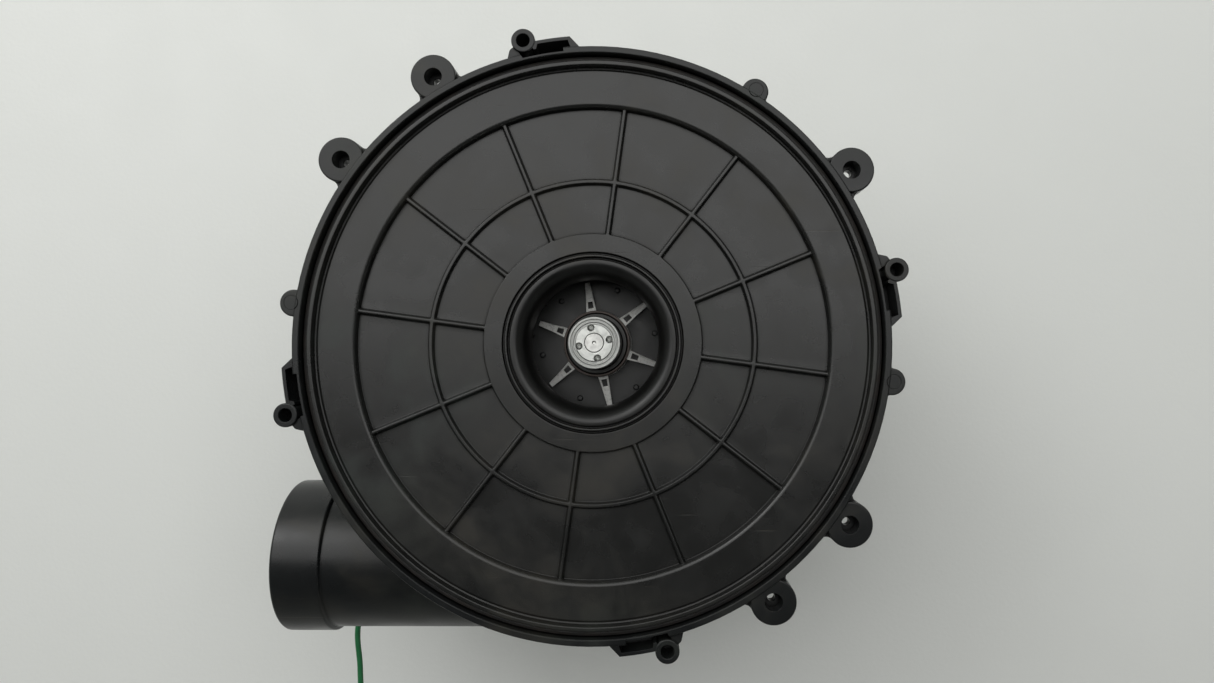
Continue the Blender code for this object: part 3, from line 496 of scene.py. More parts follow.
class Shader:
    """One procedural material, built from steps that each return an output socket."""

    def __init__(self, name):
        self.material = bpy.data.materials.new(name)
        self.material.use_nodes = True
        self.tree = self.material.node_tree
        self.tree.nodes.clear()
        self.place = self.add("TexCoord").outputs["Object"]

    def add(self, kind, inputs=None, **settings):
        made = self.tree.nodes.new("ShaderNode" + kind)
        for key, value in settings.items():
            setattr(made, key, value)
        for key, value in (inputs or {}).items():
            if isinstance(value, bpy.types.NodeSocket):
                self.tree.links.new(value, made.inputs[key])
            else:
                made.inputs[key].default_value = value
        return made

    def noise(self, scale, detail=2.0, vector=None, distortion=0.0):
        inputs = {
            "Vector": vector or self.place, "Scale": scale, "Detail": detail, "Distortion": distortion,
        }
        return self.add("TexNoise", inputs).outputs["Fac"]

    def cells(self, scale, feature="F1", vector=None, output="Distance"):
        made = self.add("TexVoronoi", feature=feature)
        self.tree.links.new(vector or self.place, made.inputs["Vector"])
        made.inputs["Scale"].default_value = scale
        return made.outputs[output]

    def math(self, operation, first, second=0.0):
        return self.add("Math", {0: first, 1: second}, operation=operation).outputs[0]

    def remap(self, value, from_low, from_high, to_low=0.0, to_high=1.0):
        inputs = {
            "Value": value, "From Min": from_low, "From Max": from_high, "To Min": to_low, "To Max": to_high,
        }
        return self.add("MapRange", inputs).outputs["Result"]

    def blend(self, share, first, second):
        first, second = [(*c, 1.0) if isinstance(c, tuple) and len(c) == 3 else c for c in (first, second)]
        return self.add("Mix", {0: share, 6: first, 7: second}, data_type="RGBA").outputs[2]

    def stretched(self, scale, turn=0.0):
        inputs = {"Vector": self.place, "Scale": scale, "Rotation": (0.0, 0.0, radians(turn))}
        return self.add("Mapping", inputs).outputs["Vector"]

    def radius(self):
        """Distance from the shaft axis."""
        flat = self.add("VectorMath", {0: self.place, 1: (1.0, 1.0, 0.0)}, operation="MULTIPLY").outputs[0]
        return self.add("VectorMath", {0: flat}, operation="LENGTH").outputs["Value"]

    def axis(self, letter):
        return self.add("SeparateXYZ", {0: self.place}).outputs[letter]

    def edges(self, width):
        """Mask that is 1 on sharp edges and 0 on flat faces."""
        soft = self.add("Bevel", {"Radius": width}, samples=4).outputs["Normal"]
        true = self.add("NewGeometry").outputs["Normal"]
        alike = self.add("VectorMath", {0: soft, 1: true}, operation="DOT_PRODUCT").outputs["Value"]
        return self.remap(alike, 0.99, 0.80)

    def streaks(self, turn, fineness=900.0, length=14.0, share=0.72):
        """Thin straight scratches along one direction."""
        lines = self.noise(1.0, 1.0, self.stretched((length, fineness, length), turn))
        patches = self.noise(38.0 + turn * 0.1, 2.0)
        both = self.math("MULTIPLY", self.remap(lines, share, share + 0.05), self.remap(patches, 0.52, 0.62))
        return both

    def finish(self, colour, roughness, metallic=0.0, height=None, depth=0.00005, **others):
        soft = self.add("Bevel", {"Radius": 0.00025}, samples=4).outputs["Normal"]
        normal = soft
        if height is not None:
            normal = self.add("Bump", {"Height": height, "Distance": depth, "Normal": soft}).outputs["Normal"]
        if isinstance(colour, tuple) and len(colour) == 3:
            colour = (*colour, 1.0)
        inputs = {"Base Color": colour, "Roughness": roughness, "Metallic": metallic, "Normal": normal}
        inputs.update({key.replace("_", " "): value for key, value in others.items()})
        shader = self.add("BsdfPrincipled", inputs)
        self.add("OutputMaterial", {"Surface": shader.outputs["BSDF"]})
        return self.material


def scaled(colour, factor):
    return tuple(channel * factor for channel in colour)


def moulded_plastic(name, colour, roughness, dust=0.30, grain=0.00003, bell_shade_radius=0.0, sheen=0.5):
    """Satin moulding with handling smudges, painted shade in the corners, fine scratches and rubbed edges.

    Nearer to the axis than the given bell radius, the colour is darkened as painted shade and the roughness rises a
    little.
    """
    s = Shader(name)
    cast = 1.0 + 3 * colour[0]
    smudges = s.noise(24.0, 5.0, distortion=0.8)
    blotches = s.noise(75.0, 4.0, distortion=0.4)
    tint = s.blend(s.remap(s.noise(14.0, 3.0), 0.35, 0.65), scaled(colour, 0.88), scaled(colour, 1.18))
    film = s.math("MULTIPLY", s.remap(smudges, 0.46, 0.62), s.remap(blotches, 0.38, 0.62, 0.15, 1.0))
    scratches = s.math("MAXIMUM", s.streaks(24.0), s.streaks(-52.0, 1200.0, 20.0))
    marks = s.math("MAXIMUM", s.math("MULTIPLY", film, dust), s.math("MULTIPLY", scratches, 0.5))
    residue = s.blend(s.remap(s.noise(9.0, 3.0), 0.42, 0.58), scaled((0.030, 0.027, 0.020), cast), scaled((0.022, 0.030, 0.026), cast))
    tone = s.blend(marks, tint, residue)
    worn = s.math("MULTIPLY", s.edges(0.0005), s.remap(s.noise(240.0, 3.0), 0.45, 0.70, 0.0, 0.8))
    tone = s.blend(s.math("MULTIPLY", worn, 0.30), tone, scaled((0.07, 0.07, 0.068), cast))
    # Painted shade: ambient occlusion darkens the colour in corners and creases and lowers the specular level there.
    corner = s.add("AmbientOcclusion", {"Distance": 0.0016}, samples=6).outputs["AO"]
    painted_crease_shade = s.math("MULTIPLY", s.remap(corner, 0.85, 0.45), 0.85)
    tone = s.blend(painted_crease_shade, tone, scaled((0.0020, 0.0017, 0.0015), 1 + 60 * colour[0] ** 2))
    shine = s.remap(s.math("ADD", smudges, s.math("MULTIPLY", blotches, 0.5)), 0.6, 0.9, roughness - 0.06, roughness + 0.10)
    # Painted shade: inside the bell the colour drops to 0.35 of the plastic's own, and the roughness rises by up to
    # 0.06.
    bell_shade_and_roughness = s.remap(s.radius(), bell_shade_radius, bell_shade_radius - 0.0012) if bell_shade_radius else 0.0
    if bell_shade_radius:
        tone = s.blend(bell_shade_and_roughness, tone, scaled(colour, 0.35))
        shine = s.math("ADD", shine, s.math("MULTIPLY", bell_shade_and_roughness, 0.06))
    fine = s.math("ADD", s.noise(2600.0, 2.0), s.math("MULTIPLY", scratches, -0.8))
    level = s.remap(painted_crease_shade, 0.0, 0.85, sheen, 0.10)
    return s.finish(tone, shine, height=fine, depth=grain, Specular_IOR_Level=level)


def rubber(name, colour, tint):
    s = Shader(name)
    tone = s.blend(s.remap(s.noise(150.0, 4.0), 0.35, 0.7), colour, tint)
    return s.finish(tone, s.remap(s.noise(300.0, 3.0), 0.3, 0.7, 0.55, 0.8), height=s.noise(1800.0, 3.0), depth=0.00008)


def turned_metal(name, colour, roughness, pitch=4200.0, wear=0.5, bright_inside=0.0):
    """Machined metal with fine rings about the shaft axis, duller outside a bright land when one is given."""
    s = Shader(name)
    rings = s.add("TexNoise", {"W": s.math("MULTIPLY", s.radius(), pitch), "Scale": 1.0, "Detail": 3.0},
                  noise_dimensions="1D").outputs["Fac"]
    heights = s.add("TexNoise", {"W": s.math("MULTIPLY", s.axis("Z"), pitch), "Scale": 1.0, "Detail": 2.0},
                    noise_dimensions="1D").outputs["Fac"]
    stains = s.noise(420.0, 5.0, distortion=0.5)
    dull = s.math("MULTIPLY", s.remap(stains, 0.45, 0.68), wear)
    tone = s.blend(dull, colour, scaled(colour, 0.62))
    tone = s.blend(s.math("MULTIPLY", s.edges(0.0003), 0.5), tone, scaled(colour, 1.15))
    shine = s.remap(stains, 0.3, 0.7, roughness - 0.05, roughness + 0.14)
    if bright_inside:
        tone = s.blend(s.remap(s.radius(), bright_inside, bright_inside + 0.0002), tone, scaled(colour, 0.6))
    # Painted shade: ambient occlusion darkens the colour in holes and recesses.
    recess = s.add("AmbientOcclusion", {"Distance": 0.0012}, samples=6).outputs["AO"]
    tone = s.blend(s.remap(recess, 0.85, 0.40, 0.0, 0.80), tone, scaled(colour, 0.05))
    return s.finish(tone, shine, 1.0, s.math("ADD", rings, heights), 0.000012)


def sheet_metal(name, colour, roughness, spangle=0.0, tarnish=(0.30, 0.27, 0.22)):
    """Rolled or plated sheet, with zinc crystals where spangle is above zero."""
    s = Shader(name)
    flakes = s.cells(150.0, output="Color")
    flake_tone = s.add("SeparateColor", {0: flakes}).outputs[0]
    cloud = s.noise(55.0, 4.0, distortion=0.4)
    tone = s.blend(s.math("MULTIPLY", flake_tone, spangle), colour, scaled(colour, 0.55))
    tone = s.blend(s.remap(cloud, 0.50, 0.80, 0.0, 0.45), tone, tarnish)
    tone = s.blend(s.math("MULTIPLY", s.edges(0.0004), 0.45), tone, scaled(colour, 1.25))
    shine = s.math("ADD", s.remap(cloud, 0.3, 0.7, roughness, roughness + 0.12), s.math("MULTIPLY", flake_tone, 0.12 * spangle))
    lines = s.noise(1.0, 2.0, s.stretched((90.0, 2600.0, 2600.0)))
    return s.finish(tone, shine, 0.95, lines, 0.00001)


def laminated_steel(name, colour):
    """Stack of thin sheets: lines across the height, with rust bloom and varnish."""
    s = Shader(name)
    sheet = s.math("FRACT", s.math("MULTIPLY", s.axis("Z"), 1 / 0.00065))
    seam = s.remap(s.math("ABSOLUTE", s.math("SUBTRACT", sheet, 0.5)), 0.34, 0.48)
    layer = s.add("TexNoise", {"W": s.math("MULTIPLY", s.axis("Z"), 900.0), "Scale": 1.0, "Detail": 1.0},
                  noise_dimensions="1D").outputs["Fac"]
    tone = s.blend(s.remap(layer, 0.3, 0.7), scaled(colour, 0.75), scaled(colour, 1.25))
    tone = s.blend(s.remap(s.noise(180.0, 5.0), 0.55, 0.75, 0.0, 0.6), tone, (0.16, 0.075, 0.04))
    tone = s.blend(seam, tone, (0.02, 0.018, 0.016))
    return s.finish(tone, s.remap(s.noise(300.0), 0.3, 0.7, 0.38, 0.55), 0.75, s.math("SUBTRACT", 0.0, seam), 0.00009)


def enamelled_copper(name):
    s = Shader(name)
    tone = s.blend(s.remap(s.noise(140.0, 3.0), 0.35, 0.7), (0.50, 0.17, 0.055), (0.26, 0.075, 0.025))
    return s.finish(tone, s.remap(s.noise(500.0), 0.3, 0.7, 0.22, 0.36), 0.7, s.noise(900.0, 2.0), 0.00002, Coat_Weight=0.6)


def porous_bronze(name):
    s = Shader(name)
    pores = s.cells(2600.0)
    tone = s.blend(s.remap(s.noise(200.0, 4.0), 0.4, 0.7), (0.46, 0.30, 0.14), (0.22, 0.13, 0.06))
    return s.finish(tone, 0.42, 0.9, s.remap(pores, 0.0, 0.4), 0.00003)


def stamped_steel(name, colour):
    """Bright strip with drawn lines along its length and a dark oily ring round the hub."""
    s = Shader(name)
    grain = s.noise(1.0, 3.0, s.stretched((900.0, 900.0, 250.0)))
    spots = s.noise(900.0, 4.0)
    near_hub = s.remap(s.radius(), 0.0150, 0.0146)
    tone = s.blend(s.remap(spots, 0.50, 0.72, 0.0, 0.6), colour, scaled(colour, 0.5))
    tone = s.blend(near_hub, tone, (0.050, 0.036, 0.030))
    return s.finish(tone, s.remap(grain, 0.3, 0.7, 0.40, 0.55), 0.15, grain, 0.00003)


def jacket(name, colour):
    """Wire insulation with slight sheen, rub marks and print-free surface."""
    s = Shader(name)
    tone = s.blend(s.remap(s.noise(260.0, 4.0), 0.45, 0.75, 0.0, 0.5), colour, scaled(colour, 0.6))
    tone = s.blend(s.remap(s.noise(70.0, 2.0), 0.60, 0.72, 0.0, 0.25), tone, (0.25, 0.25, 0.23))
    return s.finish(tone, s.remap(s.noise(150.0), 0.3, 0.7, 0.32, 0.5), height=s.noise(1500.0, 2.0), depth=0.00003)


def floor_paint():
    """Pale matt table top with the faintest mottling."""
    s = Shader("pale_table")
    tone = s.blend(s.noise(3.0, 3.0), (0.70, 0.715, 0.69), (0.75, 0.76, 0.74))
    return s.finish(tone, s.remap(s.noise(30.0, 3.0), 0.3, 0.7, 0.55, 0.7), height=s.noise(400.0, 3.0), depth=0.0001)


# ---------------------------------------------------------------- housing

def lobe_points(angle, lobe):
    """Outline of one lobe on the rim: fillet, lobe arc and fillet, with the rim angles where they start and end."""
    reach, radius, fillet = lobe
    top = (RIM_R + fillet) ** 2 + reach**2 - (radius + fillet) ** 2
    spread = acos(top / (2 * (RIM_R + fillet) * reach))
    turn = radians(angle)
    centre = (reach * cos(turn), reach * sin(turn))
    sides = []
    for side in (-1, 1):
        at = turn + side * spread
        fillet_centre = ((RIM_R + fillet) * cos(at), (RIM_R + fillet) * sin(at))
        to_lobe = atan2(centre[1] - fillet_centre[1], centre[0] - fillet_centre[0])
        to_rim = to_lobe + (at + pi - to_lobe + pi) % (2 * pi) - pi
        sides.append((fillet_centre, to_rim, to_lobe))
    (low_centre, low_rim, low_lobe), (high_centre, high_rim, high_lobe) = sides
    first = low_lobe + pi
    last = first + (high_lobe + pi - first) % (2 * pi)
    points = arc(low_centre, fillet, low_rim, low_lobe, 9)
    points += arc(centre, radius, first, last, 33)[1:-1]
    points += arc(high_centre, fillet, high_lobe, high_rim, 9)
    return turn - spread, points, turn + spread


def flange_outline():
    """Rim circle with its ears and tabs blended in."""
    lobes = [(angle, EAR_LOBE) for angle in EAR_ANGLES]
    lobes += [(angle, TAB_LOBE) for angle in TAB_ANGLES]
    made = [lobe_points(angle, lobe) for angle, lobe in sorted(lobes)]
    outline = []
    for (_, points, leave), (arrive, _, _) in zip(made, made[1:] + made[:1]):
        outline += points
        span = (arrive - leave) % (2 * pi)
        count = max(3, round(span / radians(360 / FINEST)) + 1)
        outline += arc((0, 0), RIM_R, leave, leave + span, count)[1:-1]
    return outline


def scroll_outline(inset):
    """Spiral wall of the scroll, closed by a chord across the outlet side."""
    travel = (TONGUE_ANGLE - SCROLL_END_ANGLE) % 360
    count = 110
    points = []
    for step in range(count + 1):
        share = step / count
        radius = SCROLL_START_R + (SCROLL_END_R - SCROLL_START_R) * share - inset
        at = polar(radius, TONGUE_ANGLE - travel * share)
        points.append((at.x, at.y))
    return points


def outlet_blend(name, shrink, start_x, end_x):
    """Loft from the scroll's square section to the round pipe, along -X."""
    half = PIPE_R - shrink
    rings = []
    stations = 20
    for step in range(stations + 1):
        share = step / stations
        eased = share * share * (3 - 2 * share)
        power = 2.0 + 18.0 * (1 - eased) ** 2
        x = start_x + (end_x - start_x) * share
        ring = []
        for k in range(FINE):
            a = 2 * pi * (k + 0.5) / FINE
            reach = half * (abs(cos(a)) ** power + abs(sin(a)) ** power) ** (-1 / power)
            ring.append(Vector((x, PIPE_Y + reach * cos(a), PIPE_Z + reach * sin(a))))
        rings.append(ring)
    return skin(name, rings)


def along_pipe(obj):
    """Turns a shape made round Z onto the pipe's axis, its top towards -X."""
    turn = Vector((-1, 0, 0)).to_track_quat("Z", "Y").to_matrix().to_4x4()
    return moved(obj, Matrix.Translation((0.0, PIPE_Y, PIPE_Z)) @ turn)


def outlet_pipe():
    end = -PIPE_END_X
    pipe = turned("outlet_pipe", [
        (0.0, end), (COLLAR_R, end, 0.0014), (COLLAR_R, end - COLLAR_LENGTH, 0.0009),
        (PIPE_R, end - COLLAR_LENGTH - 0.0006, 0.0005), (PIPE_R, -LOFT_END_X - 0.004, 0), (0.0, -LOFT_END_X - 0.004),
    ], FINEST)
    return along_pipe(pipe)


def outlet_bore():
    end = -PIPE_END_X
    bore = turned("outlet_bore", [
        (0.0, end + 0.001), (PIPE_BORE_R + 0.0018, end + 0.001, 0), (PIPE_BORE_R + 0.0003, end - 0.0005, 0.0012),
        (PIPE_BORE_R, end - 0.003, 0.001), (PIPE_BORE_R, -LOFT_END_X - 0.003, 0), (0.0, -LOFT_END_X - 0.003),
    ], FINEST)
    return along_pipe(bore)


def hole_cutter(at, radius, bottom, top=None, lead=0.0005):
    """Cutter for a round hole whose mouth is softly rounded."""
    top = RIM_Z if top is None else top
    return turned("hole", [
        (0.0, top + 0.002), (radius + lead * 1.6, top + 0.002, 0), (radius + lead, top + 0.00002, lead * 0.4),
        (radius, top - lead, lead), (radius, bottom, 0), (0.0, bottom),
    ], COARSE, centre=(at.x, at.y))


def latch_boss_parts(angle):
    """Tube, side wall and gusset of one latch boss."""
    at = polar(BOSS_CIRCLE_R, angle)
    tube_part = turned("latch_tube", [
        (0.0, RIM_Z - 0.0001), (BOSS_R, RIM_Z - 0.0001, 0.0005), (BOSS_R, FLANGE_Z - 0.0001, 0.0003), (0.0, FLANGE_Z - 0.0001),
    ], 48, centre=(at.x, at.y))
    corners = []
    for radius, turn, bend in (
        (RIM_R - 0.0012, -10.6, 0), (RIM_R - 0.0004, -10.6, 0.0006), (LATCH_WALL_R, -8.7, 0.0009),
    ):
        point = polar(radius, angle + turn)
        corners.append((point.x, point.y, bend))
    outline = rounded(corners, 0.0, closed=False)
    outline += arc((0, 0), LATCH_WALL_R, radians(angle - 7.8), radians(angle - 0.4), 10)
    outline += arc((0, 0), RIM_R - 0.0012, radians(angle - 0.4), radians(angle - 9.5), 10)
    wall = plate("latch_wall", [outline], FLANGE_Z + 0.0003, RIM_Z - 0.0004, 0.00035, 2)
    gusset_corners = [
        (RIM_R - 0.0012, 0.5, 0), (BOSS_CIRCLE_R - 0.0004, 1.2, 0), (RIM_R + 0.0036, 2.9, 0.0016),
        (RIM_R - 0.0003, 3.9, 0.0008), (RIM_R - 0.0012, 4.4, 0),
    ]
    outline = []
    for radius, turn, bend in gusset_corners:
        point = polar(radius, angle + turn)
        outline.append((point.x, point.y, bend))
    gusset = plate("latch_gusset", [rounded(outline, 0.0)], FLANGE_Z + 0.0006, RIM_Z - 0.0013, 0.0004, 2)
    return [tube_part, wall, gusset]


def latch_boss_cutters(angle):
    """Deep hole, pocket behind the side wall and notch in the rim of one latch boss."""
    at = polar(BOSS_CIRCLE_R, angle)
    hole = hole_cutter(at, BOSS_HOLE_R, FLANGE_Z + 0.0008, lead=0.0004)
    floor = FLANGE_Z + 0.0012
    wall_r = LATCH_WALL_R - LATCH_WALL
    pocket = plate("latch_pocket", [
        arc((0, 0), wall_r, radians(angle - 8.3), radians(angle - 2.5), 10)
        + arc((0, 0), RIM_R + 0.0001, radians(angle - 1.9), radians(angle - 8.7), 10)
    ], floor, RIM_Z + 0.001)
    notch_outline = (
        arc((0, 0), RIM_R + 0.0010, radians(angle - 7.3), radians(angle - 1.6), 8)
        + arc((at.x, at.y), BOSS_R + 0.0001, radians(angle + 220), radians(angle + 146), 8)
        + arc((0, 0), RIM_INNER_R + 0.0011, radians(angle + 0.8), radians(angle - 7.3), 12)
    )
    notch = plate("rim_notch", [notch_outline], floor, RIM_Z + 0.001)
    return [pocket, notch, hole]


def ear_cutters(angle):
    at = polar(EAR_LOBE[0], angle)
    through = hole_cutter(at, EAR_HOLE_R, FLANGE_Z - 0.002, RIM_Z - EAR_COUNTERBORE_DEPTH, 0.0003)
    wide = hole_cutter(at, EAR_COUNTERBORE_R, RIM_Z - EAR_COUNTERBORE_DEPTH)
    return [through, wide]


def tab_mark(angle):
    """Shallow witness ring left by an ejector pin on a tab."""
    at = polar(TAB_LOBE[0] + 0.0008, angle)
    top = RIM_Z - EAR_DROP
    return turned("witness_ring", [
        (0.0031, RIM_Z + 0.001, 0), (0.0031, top - 0.00010), (0.0028, top - 0.00010), (0.0028, RIM_Z + 0.001, 0),
    ], COARSE, 0.0001, (at.x, at.y))


def screw_boss(angle):
    at = polar(PLATE_SCREW_CIRCLE_R, angle)
    return turned("screw_boss", [
        (0.0, FLOOR_Z + 0.002), (0.0085, FLOOR_Z + 0.002, 0), (0.0085, FLOOR_Z + 0.0001, 0), (0.0066, FLOOR_Z - 0.0012, 0.001),
        (0.0065, FLOOR_Z - 0.004), (0.0, FLOOR_Z - 0.004),
    ], COARSE, centre=(at.x, at.y))


def scroll_chamber():
    """Space for the wheel, with the dome over the motor left standing."""
    inner_floor = FLOOR_Z + FLOOR_WALL
    chamber = plate("scroll_chamber", [scroll_outline(SCROLL_WALL)], inner_floor, DECK_Z - 0.0028, 0.0015, 3)
    dome = turned("dome", [
        (SHAFT_HOLE_R, inner_floor + DOME_RISE), (DOME_R, inner_floor + DOME_RISE, 0.003),
        (DOME_FOOT_R, inner_floor - 0.001, 0), (SHAFT_HOLE_R, inner_floor - 0.001, 0),
    ])
    return cut(chamber, dome)


def lobe_disc(angle, lobe, drop):
    """Top of an ear or a tab, standing proud of the webs that tie it to the rim."""
    at = polar(lobe[0], angle)
    top = RIM_Z - drop
    return turned("lobe_disc", [
        (0.0, top), (lobe[1], top, 0.0007), (lobe[1], FLANGE_Z + 0.0001, 0.0004), (0.0, FLANGE_Z + 0.0001),
    ], FINE, centre=(at.x, at.y))


def volute_housing():
    housing = plate("volute_housing_fine", [flange_outline()], FLANGE_Z, RIM_Z - WEB_DROP, 0.0006)
    rim = turned("rim", [
        (RIM_R, RIM_Z, 0.0006), (RIM_R, FLANGE_Z + 0.0001, 0.0004), (0.110, FLANGE_Z + 0.0001, 0), (0.110, RIM_Z, 0),
    ], FINEST)
    scroll = plate("scroll_body", [scroll_outline(0.0)], FLOOR_Z, DECK_Z - 0.001, 0.0012, 4)
    parts = [rim, scroll, outlet_blend("outlet_loft", 0.0001, 0.001, LOFT_END_X - 0.002), outlet_pipe()]
    parts += [lobe_disc(angle, EAR_LOBE, EAR_DROP) for angle in EAR_ANGLES]
    parts += [lobe_disc(angle, TAB_LOBE, EAR_DROP) for angle in TAB_ANGLES]
    parts += [screw_boss(angle) for angle in PLATE_SCREW_ANGLES]
    for angle in BOSS_ANGLES:
        parts += latch_boss_parts(angle)
    join(housing, *parts)
    pocket = turned("rim_pocket", [
        (0.0, RIM_Z + 0.001), (RIM_INNER_R + 0.0010, RIM_Z + 0.001, 0), (RIM_INNER_R + 0.0004, RIM_Z + 0.00003, 0.0002),
        (RIM_INNER_R, RIM_Z - 0.0004, 0.0004), (RIM_INNER_R, DECK_Z, 0.0004), (0.0, DECK_Z),
    ], FINEST)
    recess = turned("dome_recess", [
        (0.0, FLOOR_Z + DOME_RISE), (DOME_R - 0.002, FLOOR_Z + DOME_RISE, 0.003),
        (DOME_FOOT_R - 0.0025, FLOOR_Z + 0.0004, 0.001), (DOME_FOOT_R - 0.0015, FLOOR_Z - 0.001, 0), (0.0, FLOOR_Z - 0.001),
    ])
    deck_opening = turned("deck_opening", [
        (0.0, DECK_Z + 0.001), (DECK_OPENING_R, DECK_Z + 0.001, 0), (DECK_OPENING_R, DECK_Z - 0.004, 0), (0.0, DECK_Z - 0.004),
    ], FINEST)
    passage = outlet_blend("outlet_passage", SCROLL_WALL, 0.0, LOFT_END_X - 0.004)
    cutters = [pocket, scroll_chamber(), deck_opening, recess, passage, outlet_bore()]
    for angle in EAR_ANGLES:
        cutters += ear_cutters(angle)
    for angle in BOSS_ANGLES:
        cutters += latch_boss_cutters(angle)
    cutters += [tab_mark(angle) for angle in TAB_ANGLES]
    for angle in PLATE_SCREW_ANGLES:
        at = polar(PLATE_SCREW_CIRCLE_R, angle)
        cutters.append(turned("boss_pilot", [
            (0.0, FLOOR_Z + 0.0015), (0.0023, FLOOR_Z + 0.0015, 0), (0.0023, FLOOR_Z - 0.006, 0), (0.0, FLOOR_Z - 0.006),
        ], COARSE, centre=(at.x, at.y)))
    cut(housing, *cutters)
    tidy_mesh(housing)
    return dress(housing, "volute_housing", moulded_plastic("housing_black", (0.0062, 0.0070, 0.0074), 0.32, dust=0.45, sheen=0.36))


# ---------------------------------------------------------------- inlet cover

def panel_z(radius):
    share = (radius - HUB_LAND_R) / (STEP_R - HUB_LAND_R)
    return PANEL_INNER_Z + (PANEL_OUTER_Z - PANEL_INNER_Z) * share


def cover_profile():
    """Half section of the cover, from the throat up the bell, out over the panels and back underneath."""
    bell = []
    for step in range(15):
        angle = pi / 2 * (1 - step / 14)
        bell.append((
            BELL_CREST_R - (BELL_CREST_R - THROAT_R) * sin(angle),
            BELL_CREST_Z - BELL_DROP * (1 - cos(angle)),
            0,
        ))
    draft = 0.00015
    top = PANEL_INNER_Z + RIB_HEIGHT
    foot, crest = RIB_WIDTH / 2, RIB_CREST / 2
    lift = RIB_HEIGHT * 0.97
    upper = [
        (BELL_CREST_R + 0.0014, BELL_CREST_Z - 0.0001, 0.0012), (BEAD_R - 0.0013, top - 0.0012, 0.0002),
        (BEAD_R - 0.0006, top - 0.0012, 0.0002), (BEAD_R - 0.0004, top + 0.0008, 0.0003),
        (BEAD_R + 0.0004, top + 0.0008, 0.0003), (BEAD_R + 0.0007, top - 0.0010, 0.0002),
        (BEAD_R + 0.0013, top - 0.0010, 0.0002), (BEAD_R + 0.0017, top, 0.0003),
        (HUB_LAND_R - draft, top, 0.0004), (HUB_LAND_R + draft, PANEL_INNER_Z, 0.0003),
        (RING_RIB_R - foot, panel_z(RING_RIB_R - foot), 0.0003), (RING_RIB_R - crest, panel_z(RING_RIB_R) + lift, 0.0003),
        (RING_RIB_R + crest, panel_z(RING_RIB_R) + lift, 0.0003), (RING_RIB_R + foot, panel_z(RING_RIB_R + foot), 0.0003),
        (STEP_R - draft, PANEL_OUTER_Z, 0.0003), (STEP_R + 2 * draft, BAND_INNER_Z, 0.0024),
        (LIP_INNER_R - 0.0016, BAND_OUTER_Z, 0.0006), (LIP_INNER_R - 0.0008, BAND_OUTER_Z - 0.0004, 0.0003),
        (LIP_INNER_R - draft, BAND_OUTER_Z - 0.0002, 0.0002), (LIP_INNER_R + draft, LIP_Z, 0.0004),
        (LIP_R, LIP_Z, 0.0005),
    ]
    neck_r = THROAT_R + NECK_WALL
    below = [
        (LIP_R, DECK_Z + GAP), (LIP_R - 0.0045, DECK_Z + GAP), (LIP_R - 0.0045, 0.1535), (STEP_R + 0.0025, 0.1522),
        (STEP_R, DECK_Z + GAP + 0.0001), (HUB_LAND_R, PANEL_INNER_Z - COVER_WALL), (BELL_CREST_R + 0.0030, 0.1492),
        (neck_r + 0.0035, 0.1460, 0.002), (neck_r, 0.1415, 0.002), (neck_r, THROAT_END_Z), (THROAT_R, THROAT_END_Z),
    ]
    return rounded([*bell, *upper, *below], ROUND), len(rounded([*bell, *upper], ROUND, closed=False))


def rib_columns(radius):
    """Angles of one ring of points: columns at fixed distances from each radial rib, and even ones between ribs."""
    offsets = [-reach for reach, _ in RIB_SECTION] + [0.0] + [reach for reach, _ in reversed(RIB_SECTION)]
    between = 12
    columns = []
    for k in range(RIB_COUNT):
        centre = radians(RIB_START_ANGLE + 360 / RIB_COUNT * k)
        following = centre + 2 * pi / RIB_COUNT
        columns += [(centre + asin(offset / radius), offset) for offset in offsets]
        first = centre + asin(offsets[-1] / radius)
        last = following + asin(offsets[0] / radius)
        columns += [(first + (last - first) * i / (between + 1), None) for i in range(1, between + 1)]
    return columns


def rib_lift(offset):
    """Height share of a radial rib at a distance from its centre line."""
    for reach, share in RIB_SECTION:
        if abs(offset) >= reach - 0.00001:
            return share
    return 1.0


def inlet_cover():
    profile, top_count = cover_profile()
    rings = []
    for index, (radius, height) in enumerate(profile):
        ring = []
        ribbed = index < top_count and HUB_LAND_R - 0.001 < radius < STEP_R + 0.001
        for angle, offset in rib_columns(radius):
            z = height
            if ribbed and offset is not None:
                crest = panel_z(radius) + RIB_HEIGHT * 0.985
                z += max(0.0, crest - height) * rib_lift(offset)
            ring.append(Vector((radius * cos(angle), radius * sin(angle), z)))
        rings.append(ring)
    cover = skin("inlet_cover_fine", rings, closed_loop=True, capped=False)
    return dress(cover, "inlet_cover", moulded_plastic("cover_black", (0.0080, 0.0082, 0.0078), 0.29, dust=0.45, bell_shade_radius=BELL_CREST_R + 0.0012, sheen=0.46))


def seals():
    outer, inner = RIM_INNER_R - GAP, LIP_R + GAP
    bottom, top = low("cover_seal").z, high("cover_seal").z
    seal = turned("cover_seal_fine", [
        (outer, top - 0.0004, 0.0004), (outer, bottom), (inner, bottom), (inner, top - 0.0004, 0.0004),
        ((outer + inner) / 2, top, 0.0008),
    ], FINEST)
    dress(seal, "cover_seal", rubber("seal_black", (0.009, 0.009, 0.009), (0.020, 0.016, 0.013)))
    base = low("shaft_seal").z
    lip = turned("shaft_seal_fine", [
        (0.0060, base + 0.0026), (0.0068, base + 0.0011), (0.0095, base + 0.0009), (0.0095, base), (0.0047, base),
        (0.0047, base + 0.0026),
    ], FINE, 0.0002)
    dress(lip, "shaft_seal", rubber("seal_red", (0.30, 0.045, 0.03), (0.20, 0.03, 0.02)))


# ---------------------------------------------------------------- wheel and hub

